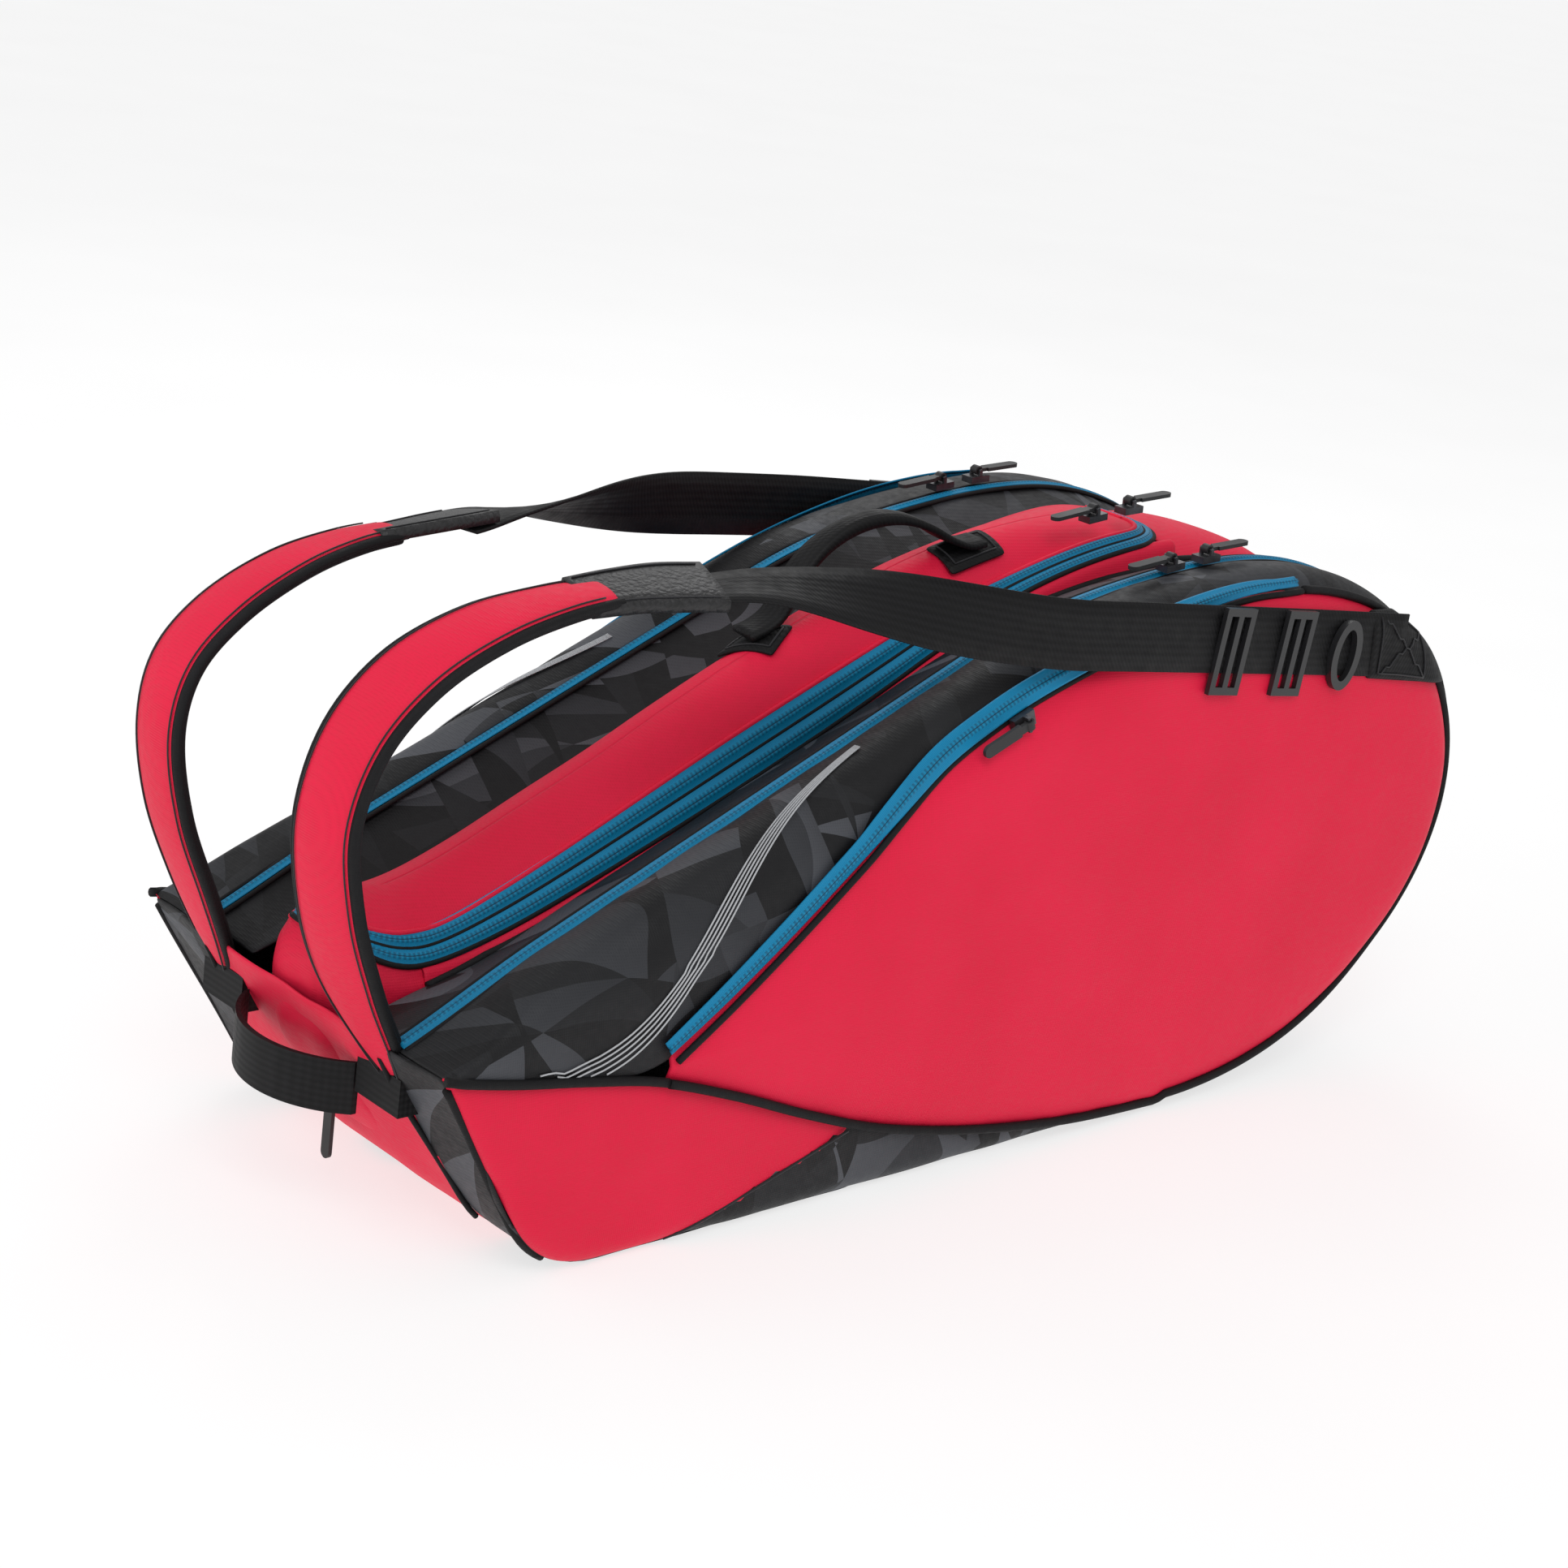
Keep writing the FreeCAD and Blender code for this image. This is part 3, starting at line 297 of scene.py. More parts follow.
def zip_tape(name, light, dark):
    """Zip tape and coil: v = 0 to 1 across, u in metres along; the coil is in the middle, lighter on its
    raised teeth with painted shade between them and a painted shadow line down its centre groove.
    """
    n = Nodes(name)
    place = n.coordinates("UV")
    apart = n.add("ShaderNodeSeparateXYZ")
    n.join(place, apart.inputs["Vector"])
    middle = n.math("ABSOLUTE", n.math("SUBTRACT", apart.outputs[1], 0.5))
    coil = n.math("LESS_THAN", middle, 0.17)
    teeth = n.wave(place, 115.0, "X")
    rows = n.wave(n.mapped(place, (1, 22.0, 1)), 1.0, "Y")
    threads_height = n.math("MULTIPLY", n.wave(place, 330.0, "X"), rows)
    grain = n.noise(n.coordinates("Object"), 45.0, 4.0)
    tape = n.ramp(n.math("MULTIPLY", grain, threads_height), [(0.0, dark), (0.45, light)])
    # Coil colour: darker blue than the tape, lighter on the raised teeth, with painted shade between the
    # teeth.
    coil_colour_with_painted_shade = n.mix(teeth, tuple(c * 0.62 for c in dark), tuple(c * 0.80 for c in light))
    colour = n.mix(coil, tape, coil_colour_with_painted_shade)
    # Painted shadow: a near-black line down the groove in the middle of the coil.
    painted_groove_shadow = n.math("LESS_THAN", middle, 0.02)
    colour = n.mix(painted_groove_shadow, colour, tuple(c * 0.2 for c in dark))
    height = n.math("ADD", n.math("MULTIPLY", coil, teeth), n.math("MULTIPLY", threads_height, 0.2))
    normal = n.bump(height, 0.45, 0.0005)
    return n.finish(colour, 0.48, normal, specular=0.3)


def plastic(name, light, dark, rough=0.38, grain_size=600.0):
    n = Nodes(name)
    place = n.coordinates("Object")
    grain = n.noise(place, grain_size, 2.0)
    broad = n.noise(place, 25.0, 3.0)
    colour = n.ramp(broad, [(0.3, dark), (0.7, light)])
    roughness = n.ramp(broad, [(0.3, (rough - 0.05,) * 3), (0.7, (rough + 0.08,) * 3)])
    return n.finish(colour, roughness, n.bump(grain, 0.25, 0.0002), specular=0.5)


def metal(name, light, dark):
    n = Nodes(name)
    place = n.coordinates("Object")
    worn = n.noise(place, 90.0, 4.0)
    scratch = n.noise(n.mapped(place, (1, 14, 14)), 90.0, 2.0)
    colour = n.ramp(worn, [(0.35, dark), (0.65, light)])
    roughness = n.ramp(scratch, [(0.3, (0.26,) * 3), (0.7, (0.42,) * 3)])
    return n.finish(colour, roughness, n.bump(scratch, 0.15, 0.0002), metallic=0.75)


def pebbled(name, light, dark):
    """Textured trim with raised diamonds, painted lighter on their tops with painted shade in the gaps
    between them.
    """
    n = Nodes(name)
    place = n.coordinates("Object")
    cells = n.add("ShaderNodeTexVoronoi", distance="CHEBYCHEV")
    cells.inputs["Scale"].default_value = 330.0
    n.join(n.mapped(place, (1, 1, 1), (0.6, 0.2, 0.785)), cells.inputs["Vector"])
    height = n.ramp(cells.outputs["Distance"], [(0.2, (1, 1, 1)), (0.7, (0, 0, 0))])
    # Painted light: the raised diamonds are painted lighter and the gaps between them darker, as painted
    # shade.
    colour = n.mix(height, dark, light)
    return n.finish(colour, 0.5, n.bump(height, 0.6, 0.0006))


RED = cloth("red_fabric", (0.84, 0.011, 0.060), (0.74, 0.007, 0.044))
CAMO = camouflage("camouflage_fabric")
BLACK_CLOTH = cloth("black_fabric", (0.0085, 0.008, 0.0095), (0.0045, 0.0045, 0.005), rough=0.7)
LINING = cloth("lining", (0.035, 0.035, 0.040), (0.022, 0.022, 0.026), 1100.0, 0.1, 0.72)
BLUE = zip_tape("blue_zip", (0.0, 0.30, 0.56), (0.0, 0.20, 0.40))
WEBBING = webbing_cloth("webbing", (0.007, 0.0068, 0.0078), (0.0022, 0.0022, 0.0026))
NODE_WEBBING = solid_webbing("webbing_sewn", (0.007, 0.0068, 0.0078), (0.0022, 0.0022, 0.0026))
PLASTIC = plastic("black_plastic", (0.017, 0.017, 0.019), (0.010, 0.010, 0.011))
RUBBER = plastic("pull_rubber", (0.018, 0.018, 0.020), (0.011, 0.011, 0.012), 0.52)
METAL = metal("dark_metal", (0.10, 0.10, 0.11), (0.055, 0.055, 0.06))
TRIM = pebbled("textured_trim", (0.015, 0.0145, 0.016), (0.005, 0.005, 0.0055))
BOARD = plastic("board", (0.03, 0.03, 0.033), (0.02, 0.02, 0.022), 0.6, 200.0)
SILVER = cloth("silver_print", (0.55, 0.56, 0.58), (0.46, 0.47, 0.49), 1500.0, 0.0, 0.42, 0.0004)
THREAD = cloth("thread", (0.03, 0.03, 0.034), (0.018, 0.018, 0.02), 4000.0, 0.1, 0.6, 0.0002)

NODE_MATERIALS = {
    "red_fabric": RED,
    "camouflage_fabric": CAMO,
    "lining": LINING,
    "board": BOARD,
    "blue_zip": BLUE,
    "dark_metal": METAL,
    "pull_rubber": RUBBER,
    "black_plastic": PLASTIC,
    "textured_trim": TRIM,
    "webbing": NODE_WEBBING,
}


# ---------------------------------------------------------------------------------------------
# Mesh helpers: everything is worked out in millimetres and written in metres
# ---------------------------------------------------------------------------------------------
def smooth(value, low, high):
    share = np.clip((np.asarray(value, float) - low) / (high - low), 0, 1)
    return share * share * (3 - 2 * share)


def unit(v):
    length = np.linalg.norm(v, axis=-1, keepdims=True)
    return v / np.where(length < 1e-9, 1, length)


def make_object(name, verts, faces, body, materials, uvs=None, tags=None, smooth_shade=True):
    mesh = bpy.data.meshes.new(name)
    mesh.from_pydata((np.asarray(verts) * MM).tolist(), [], faces)
    for material in materials:
        mesh.materials.append(material)
    if tags is not None:
        mesh.polygons.foreach_set("material_index", tags)
    if uvs is not None:
        layer = mesh.uv_layers.new(name="UVMap")
        loops = np.empty(len(mesh.loops), int)
        mesh.loops.foreach_get("vertex_index", loops)
        layer.data.foreach_set("uv", np.asarray(uvs)[loops].astype(np.float32).ravel())
    if smooth_shade:
        mesh.polygons.foreach_set("use_smooth", np.ones(len(mesh.polygons), bool))
    mesh.update()
    obj = bpy.data.objects.new(name, mesh)
    bpy.context.collection.objects.link(obj)
    if body is not None:
        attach(obj, body)
    return obj


def grid_faces(rows, columns, closed=False):
    faces = []
    wrap = columns if closed else columns - 1
    for i in range(rows - 1):
        for j in range(wrap):
            k = (j + 1) % columns
            faces.append((i * columns + j, i * columns + k, (i + 1) * columns + k, (i + 1) * columns + j))
    return faces


def grid_uv(points):
    along = np.linalg.norm(np.diff(points, axis=0), axis=2)
    across = np.linalg.norm(np.diff(points, axis=1), axis=2)
    u = np.concatenate([np.zeros((1, points.shape[1])), np.cumsum(along, axis=0)])
    v = np.concatenate([np.zeros((points.shape[0], 1)), np.cumsum(across, axis=1)], axis=1)
    return np.stack([u * MM, v * MM], axis=2).reshape(-1, 2)


def creased(points, size, depth, seed=0.0):
    """Moves a grid of points along z and y a little, as soft cloth would be."""
    flat = points.reshape(-1, 3)
    out = np.array(flat)
    for index, p in enumerate(flat):
        place = Vector((p[0] / size + seed, p[1] / size, p[2] / size))
        shift = noise.noise_vector(place)
        out[index] += np.array(shift) * depth
    return out.reshape(points.shape)


def skin(name, points, body, materials, thick=2.0, outward=None, tag=None, ease=1):
    """Cloth panel from a grid of points, given thickness on its inner side."""
    rows, columns = points.shape[:2]
    faces = grid_faces(rows, columns)
    flat = points.reshape(-1, 3)
    quad = np.array([flat[list(face)] for face in faces])
    middle = quad.mean(axis=1)
    normal = np.cross(quad[:, 2] - quad[:, 0], quad[:, 3] - quad[:, 1])
    away = middle - np.array(outward if outward is not None else (0.0, 0.0, 150.0))
    if (normal * away).sum() < 0:
        faces = [face[::-1] for face in faces]
    tags = None
    if tag is not None:
        tags = [int(tag(m)) for m in middle]
    inner = len(materials)
    obj = make_object(
        name, flat, faces, body, list(materials) + [LINING], grid_uv(points), tags
    )
    thickness = obj.modifiers.new("thickness", "SOLIDIFY")
    thickness.thickness = thick * MM
    thickness.offset = -1
    thickness.material_offset = inner
    thickness.material_offset_rim = 0
    if ease:
        obj.modifiers.new("ease", "SUBSURF").levels = ease
        obj.modifiers["ease"].render_levels = ease
    return obj


def frames_along(path, up):
    """Sides and lifts at each point of a path; up is one direction or one per point."""
    path = np.asarray(path, float)
    ahead = np.gradient(path, axis=0)
    ahead = unit(ahead)
    up = np.broadcast_to(np.asarray(up, float), path.shape)
    side = unit(np.cross(ahead, up))
    lift = unit(np.cross(side, ahead))
    return side, lift


def sweep(name, path, up, section, body, materials, tags=None, scale=None, ends=True):
    """Closed section (across, lift) carried along a path."""
    path = np.asarray(path, float)
    side, lift = frames_along(path, up)
    section = np.asarray(section, float)
    count = len(section)
    rows = []
    around = np.linalg.norm(np.diff(np.vstack([section, section[:1]]), axis=0), axis=1)
    v = np.concatenate([[0], np.cumsum(around)])[:count]
    lengths = np.concatenate([[0], np.cumsum(np.linalg.norm(np.diff(path, axis=0), axis=1))])
    uvs = []
    for index, p in enumerate(path):
        widths = (1.0, 1.0) if scale is None else scale[index]
        ring = p + side[index] * (section[:, :1] * widths[0]) + lift[index] * (section[:, 1:] * widths[1])
        rows.append(ring)
        uvs.append(np.stack([np.full(count, lengths[index] * MM), v * MM], axis=1))
    verts = np.vstack(rows)
    faces = grid_faces(len(path), count, closed=True)
    face_tags = None
    if tags is not None:
        face_tags = [tags[j] for _ in range(len(path) - 1) for j in range(count)]
    if ends:
        faces.append(tuple(range(count))[::-1])
        faces.append(tuple((len(path) - 1) * count + j for j in range(count)))
        if face_tags is not None:
            face_tags += [tags[0], tags[0]]
    obj = make_object(name, verts, faces, body, materials, np.vstack(uvs), face_tags)
    fix_normals(obj)
    return obj


def fix_normals(obj):
    work = bmesh.new()
    work.from_mesh(obj.data)
    bmesh.ops.recalc_face_normals(work, faces=work.faces)
    work.to_mesh(obj.data)
    work.free()


def circle(radius, count=8, flat=1.0):
    angles = np.linspace(0, 2 * math.pi, count, endpoint=False)
    return np.stack([radius * np.cos(angles), radius * flat * np.sin(angles)], axis=1)


def cord_edge(name, path, radius, body, up=(0, 0, 1), material=None):
    """Round piping along a seam."""
    return sweep(name, path, up, circle(radius, 10), body, [material or BLACK_CLOTH])


def even(points, step):
    """Resamples a chain of points at an even step."""
    points = np.asarray(points, float)
    lengths = np.concatenate([[0], np.cumsum(np.linalg.norm(np.diff(points, axis=0), axis=1))])
    count = max(2, int(round(lengths[-1] / step)) + 1)
    wanted = np.linspace(0, lengths[-1], count)
    return np.stack([np.interp(wanted, lengths, points[:, k]) for k in range(points.shape[1])], axis=1)


def curve_through(points, step=3.0):
    """Smooth chain through given points (centripetal spline)."""
    points = np.asarray(points, float)
    first = 2 * points[0] - points[1]
    last = 2 * points[-1] - points[-2]
    pts = np.vstack([first, points, last])
    out = []
    for a, b, c, d in zip(pts[:-3], pts[1:-2], pts[2:-1], pts[3:]):
        marks = [0.0]
        for start, end in ((a, b), (b, c), (c, d)):
            marks.append(marks[-1] + max(np.linalg.norm(end - start), 1e-6) ** 0.5)
        for t in np.linspace(marks[1], marks[2], 24, endpoint=False):
            ab = (a * (marks[1] - t) + b * (t - marks[0])) / (marks[1] - marks[0])
            bc = (b * (marks[2] - t) + c * (t - marks[1])) / (marks[2] - marks[1])
            cd = (c * (marks[3] - t) + d * (t - marks[2])) / (marks[3] - marks[2])
            abc = (ab * (marks[2] - t) + bc * (t - marks[0])) / (marks[2] - marks[0])
            bcd = (bc * (marks[3] - t) + cd * (t - marks[1])) / (marks[3] - marks[1])
            out.append((abc * (marks[2] - t) + bcd * (t - marks[1])) / (marks[2] - marks[1]))
    out.append(points[-1])
    return even(np.array(out), step)


def zip_band(name, path, lift, width, body, crown=1.2, thick=1.0):
    """Zip tape along a path: a flat band with a raised coil; lift is outward at each point."""
    path = np.asarray(path, float)
    side, out = frames_along(path, lift)
    across = np.array([-0.5, -0.42, -0.2, -0.14, -0.05, 0.0, 0.05, 0.14, 0.2, 0.42, 0.5])
    rise = np.array([0.0, 0.25, 0.3, 0.9, 1.0, 0.82, 1.0, 0.9, 0.3, 0.25, 0.0]) * crown
    widths = np.broadcast_to(np.asarray(width, float), (len(path),))
    points = (
        path[:, None]
        + side[:, None] * (across[None, :, None] * widths[:, None, None])
        + out[:, None] * rise[None, :, None]
    )
    lengths = np.concatenate([[0], np.cumsum(np.linalg.norm(np.diff(path, axis=0), axis=1))])
    uvs = np.stack(
        [
            np.repeat(lengths * MM, len(across)),
            np.tile(across + 0.5, len(path)),
        ],
        axis=1,
    )
    verts = points.reshape(-1, 3)
    faces = grid_faces(len(path), len(across))
    obj = make_object(name, verts, faces, body, [BLUE], uvs)
    quad = verts[list(faces[len(faces) // 2])]
    if np.dot(np.cross(quad[2] - quad[0], quad[3] - quad[1]), out[len(path) // 2]) < 0:
        obj.data.flip_normals()
    solid = obj.modifiers.new("thickness", "SOLIDIFY")
    solid.thickness = thick * MM
    solid.offset = -1
    return obj


# ---------------------------------------------------------------------------------------------
# Side outline of the bag, in millimetres
# ---------------------------------------------------------------------------------------------
def box_mm(node):
    low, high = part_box(node)
    return [c / MM for c in low], [c / MM for c in high]


COVER_LOW, COVER_HIGH = box_mm("front_cover")
PANEL_LOW, _ = box_mm("front_pocket_panel")
NOSE = np.array([COVER_LOW[0], 120.0])
HEAD_X = COVER_HIGH[0]
CREST_Z = COVER_HIGH[2]
HALF = -PANEL_LOW[1]
CREST = np.array([190.0, CREST_Z])
CREST_RADIUS = 500.0
HEAD_Z = 170.0
FLOOR_END = 150.0
FOOT_X = -304.0
FOOT_RADIUS = 60.0
ZIP_PLANE = 89.0
VALLEY = 47.0


class Outline:
    """Closed side outline at a fine even step: nose, top, head, floor, foot, nose wall."""

    def __init__(self):
        centre = CREST - np.array([0.0, CREST_RADIUS])
        toward = NOSE - centre
        reach = np.linalg.norm(toward)
        start = math.atan2(toward[1], toward[0]) - math.acos(CREST_RADIUS / reach)
        arc = np.linspace(start, math.pi / 2, 90)
        crest = np.stack([np.cos(arc), np.sin(arc)], axis=1) * CREST_RADIUS + centre
        high = self.quarter(CREST[0], CREST_Z - HEAD_Z, math.pi / 2, 0)
        low = self.quarter(FLOOR_END, HEAD_Z, 0, -math.pi / 2)
        wall = np.array([FOOT_X, 0.0]) - NOSE
        wall /= np.linalg.norm(wall)
        turn = math.acos(float(np.dot(wall, [1.0, 0.0])))
        run = FOOT_RADIUS * math.tan(turn / 2)
        foot_start = np.array([FOOT_X + run, 0.0])
        hub = foot_start + np.array([0.0, FOOT_RADIUS])
        bend = np.linspace(-math.pi / 2, -math.pi / 2 - turn, 24)
        foot = np.stack([np.cos(bend), np.sin(bend)], axis=1) * FOOT_RADIUS + hub
        chain = np.vstack([NOSE[None], crest, high[1:], low[1:], foot, NOSE[None]])
        self.points = even(chain, 1.0)
        count = len(self.points)
        self.total = float(np.linalg.norm(np.diff(self.points, axis=0), axis=1).sum())
        self.lengths = np.linspace(0, self.total, count)
        ahead = np.roll(self.points[:-1], -4, axis=0) - np.roll(self.points[:-1], 4, axis=0)
        ahead = unit(ahead)
        self.normals = np.stack([-ahead[:, 1], ahead[:, 0]], axis=1)
        self.normals = np.vstack([self.normals, self.normals[:1]])
        top = np.argmax(self.points[:, 0])
        self.head = self.lengths[top]
        low_part = self.points[top:]
        self.floor = self.lengths[top + int(np.argmin(np.abs(low_part[:, 0] - FLOOR_END)))]
        self.foot = self.lengths[-1] - np.linalg.norm(NOSE - foot[-1])
        self.top_index = top

    @staticmethod
    def quarter(x, rise, start, end):
        angles = np.linspace(start, end, 110)
        return np.stack(
            [x + (HEAD_X - x) * np.cos(angles), HEAD_Z + rise * np.sin(angles)], axis=1
        )

    def at(self, s):
        s = np.mod(s, self.total)
        x = np.interp(s, self.lengths, self.points[:, 0])
        z = np.interp(s, self.lengths, self.points[:, 1])
        nx = np.interp(s, self.lengths, self.normals[:, 0])
        nz = np.interp(s, self.lengths, self.normals[:, 1])
        return np.stack([x, z], axis=-1), unit(np.stack([nx, nz], axis=-1))

    def top(self, x):
        """Length along the outline where the top is at x."""
        part = slice(0, self.top_index + 1)
        return np.interp(x, self.points[part, 0], self.lengths[part])

    def height(self, x):
        part = slice(0, self.top_index + 1)
        return np.interp(x, self.points[part, 0], self.points[part, 1])

    def depth(self, xz):
        """How far inside the outline points of the side plane are."""
        xz = np.asarray(xz, float).reshape(-1, 2)
        chain = np.vstack([self.points[:-1:4], self.points[:1]])
        run = np.diff(chain, axis=0)
        square = (run**2).sum(axis=1)
        best = np.empty(len(xz))
        for start in range(0, len(xz), 3000):
            part = xz[start : start + 3000]
            away = part[:, None] - chain[None, :-1]
            share = np.clip((away * run[None]).sum(axis=2) / square[None], 0, 1)
            gap = away - share[:, :, None] * run[None]
            best[start : start + 3000] = np.sqrt((gap**2).sum(axis=2).min(axis=1))
        return best


OUT = Outline()


def corner_radius(x, z):
    """Rounding between the bag's band and its side: tight at the nose and the floor."""
    nose = smooth(x, NOSE[0] + 4, -262.0)
    low = smooth(z, 6.0, 80.0)
    return 5.0 + 21.0 * nose * (0.35 + 0.65 * low)


def face_y(xz, puff=3.0):
    """Half width of the side at points of the side plane."""
    xz = np.asarray(xz, float).reshape(-1, 2)
    depth = OUT.depth(xz)
    radius = corner_radius(xz[:, 0], xz[:, 1])
    inner = np.clip(radius - depth, 0, radius)
    y = HALF - radius + np.sqrt(np.maximum(radius**2 - inner**2, 0))
    return y + puff * (1 - np.exp(-np.maximum(depth - radius * 0.4, 0) / 45.0))


def lobe_rise(y, s):
    """Offset of a side lobe's band from the outline, at half width y and length s."""
    (xz, normal) = OUT.at(s)
    tall = np.clip(0.55 + 0.75 * normal[..., 1], 0, 1)
    nose = smooth(xz[..., 0], NOSE[0] + 2, -290.0)
    front = smooth(-xz[..., 0], -120.0, 20.0) * nose * tall
    share = np.clip((y - VALLEY) / (108.0 - VALLEY), 0, 1)
    dip = -(15.0 * tall + 2.0) * (1 - np.sin(np.pi / 2 * share)) * (0.35 + 0.65 * nose)
    return dip + 7.0 * front * np.sin(np.pi / 2 * share) ** 3


# ---------------------------------------------------------------------------------------------
# Seams on the side (x, z), in millimetres
# ---------------------------------------------------------------------------------------------
SEAM = curve_through([(-376, 121), (-336, 113), (-292, 106), (-246, 97), (-196, 80), (-144, 59),
                      (-91, 40), (-35, 26), (21, 16), (81, 9), (150, 5)])
POCKET_EDGE = curve_through([(-242, 112), (-209, 135), (-172, 163), (-136, 192), (-104, 218),
                             (-72, 240), (-36, 258), (2, 274), (54, 291), (108, 305), (158, 312),
                             (204, 313)])
RIM = 9.0
SIDES = {"front": -1.0, "back": 1.0}


def seam_z(x):
    return np.interp(x, SEAM[:, 0], SEAM[:, 1])


def rim_points(x_from_length, x_to_length, inset):
    s = np.arange(x_from_length, x_to_length, 3.0)
    xz, normal = OUT.at(s)
    return xz - normal * inset


def on_side(xz, lift, sign):
    """Points of the side plane laid on the side's surface."""
    xz = np.asarray(xz, float)
    y = face_y(xz) + lift
    return np.stack([xz[:, 0], sign * y, xz[:, 1]], axis=1)


def side_normals(points, sign):
    """Outward directions of the side's surface near a chain of its points."""
    xz = points[:, (0, 2)]
    step = 2.0
    across = (face_y(xz + [step, 0]) - face_y(xz - [step, 0])) / (2 * step)
    upward = (face_y(xz + [0, step]) - face_y(xz - [0, step])) / (2 * step)
    return unit(np.stack([-across, np.full(len(xz), sign), -upward], axis=1))


def cover_depths(lengths):
    """How far down the side the cover's cloth reaches from the outline."""
    reach = []
    for s in lengths:
        xz, normal = OUT.at(s)
        if xz[0] > POCKET_EDGE[-1, 0] or s > OUT.head:
            reach.append(RIM + 9.0)
            continue
        for d in np.arange(0.0, 90.0, 0.5):
            x, z = xz - normal * d
            if x < POCKET_EDGE[0, 0] - 4:
                limit = seam_z(x)
            else:
                limit = np.interp(x, POCKET_EDGE[:, 0], POCKET_EDGE[:, 1]) - 8.0
            if z <= limit:
                break
        reach.append(d)
    reach = np.array(reach)
    kernel = np.ones(9) / 9
    return np.convolve(np.pad(reach, 4, mode="edge"), kernel, mode="valid")


def cover_point(s, across):
    """Point of the cover at length s: across counts from the zip plane over the crown."""
    xz, normal = OUT.at(s)
    radius = float(corner_radius(xz[0], xz[1]))
    flat = HALF - radius - ZIP_PLANE
    bend = radius * math.pi / 2
    if across <= flat:
        y = ZIP_PLANE + across
        rise = float(lobe_rise(y, s))
    elif across <= flat + bend:
        angle = (across - flat) / radius
        y = HALF - radius + radius * math.sin(angle)
        rise = float(lobe_rise(HALF - radius, s)) * math.cos(angle) - radius * (1 - math.cos(angle))
    else:
        rise = -(radius + across - flat - bend)
        y = None
    place = xz + normal * rise
    if y is None:
        y = float(face_y(place)[0])
    return np.array([place[0], y, place[1]])


def cover_width(s, reach):
    xz, _ = OUT.at(s)
    radius = float(corner_radius(xz[0], xz[1]))
    if reach >= radius:
        return HALF - radius - ZIP_PLANE + radius * math.pi / 2 + reach - radius
    angle = math.acos(1 - reach / radius)
    return HALF - radius - ZIP_PLANE + radius * angle


def padded_edge(rows):
    """Shares from 0 to 1, closer together at both ends."""
    share = np.linspace(0, 1, rows)
    return 0.5 - 0.5 * np.cos(np.pi * share)


COVER_LENGTHS = np.concatenate([np.arange(1.0, 60, 3.0), np.arange(60.0, OUT.floor, 7.0), [OUT.floor]])
COVER_REACH = cover_depths(COVER_LENGTHS)


def make_cover(side, sign):
    """Camouflage gusset from the main zip over the crown to the pocket's edge."""
    body = f"{side}_side"
    rows = []
    for s, reach in zip(COVER_LENGTHS, COVER_REACH):
        width = cover_width(s, reach)
        rows.append([cover_point(s, 3.0 + (width - 3.0) * f) for f in np.linspace(0, 1, 26)])
    points = np.array(rows)
    points[:, :, 1] *= sign
    points = creased(points, 34.0, 0.8, 3.0)
    piece = skin(f"{side}_gusset_cover", points, body, [CAMO],
                 outward=(0, sign * 80, 150))
    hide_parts(f"{side}_cover")
    for index in range(5):
        first = -333.0 + 8.0 * index
        chain = []
        for share in np.linspace(0, 1, 60):
            length = float(OUT.top(first + share * (-104.0 - first)))
            reach = float(np.interp(length, COVER_LENGTHS, COVER_REACH))
            base = cover_width(length, reach) - 4.0
            across = (1 - share) ** 1.15 * base + (1 - (1 - share) ** 1.15) * (12.0 + 0.9 * index)
            point = cover_point(length, across)
            point += np.array([-0.2, 0.5, 0.8])
            point[1] *= sign
            chain.append(point)
        sweep(f"{side}_line_{index + 1}", chain, (0, sign, 0.6),
              [(-0.42, -0.1), (0.42, -0.1), (0.42, 0.3), (-0.42, 0.3)],
              body, [SILVER])


def band_grid(lengths, half_widths, rise, sign=1.0):
    """Grid along the outline at given half widths."""
    rows = []
    for s in lengths:
        xz, normal = OUT.at(s)
        row = []
        for y in half_widths:
            place = xz + normal * rise(y, s)
            row.append((place[0], sign * y, place[1]))
        rows.append(row)
    return np.array(rows)


def make_inner_gusset(side, sign):
    """Camouflage between the valley and the main zip."""
    lengths = np.concatenate([np.arange(6.0, OUT.floor, 7.0), [OUT.floor]])
    points = band_grid(lengths, np.linspace(VALLEY, ZIP_PLANE - 3.0, 12),
                       lambda y, s: float(lobe_rise(y, s)), sign)
    points = creased(points, 34.0, 0.8, 9.0)
    piece = skin(f"{side}_inner_gusset", points, "bag_shell", [CAMO],
                 outward=(0, 0, 150))
    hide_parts(f"{side}_gusset")


def make_main_zip(side, sign):
    lengths = np.arange(4.0, OUT.floor - 100.0, 4.0)
    xz, normal = OUT.at(lengths)
    rise = np.array([float(lobe_rise(ZIP_PLANE, s)) for s in lengths]) + 0.8
    place = xz + normal * rise[:, None]
    path = np.stack([place[:, 0], np.full(len(lengths), sign * ZIP_PLANE), place[:, 1]], axis=1)
    lift = np.stack([normal[:, 0], np.full(len(lengths), sign * 0.15), normal[:, 1]], axis=1)
    piece = zip_band(f"{side}_main_zip_tape", path, lift, 8.5, f"{side}_side", 1.6)
    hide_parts(f"{side}_main_zip")
    for offset, tag in ((-5.6, "inner"), (5.6, "outer")):
        edge = path + np.array([0, sign * offset, 0]) - lift * 0.6
        body = "bag_shell" if tag == "inner" else f"{side}_side"
        cord_edge(f"{side}_zip_{tag}_welt", edge, 1.3, body)


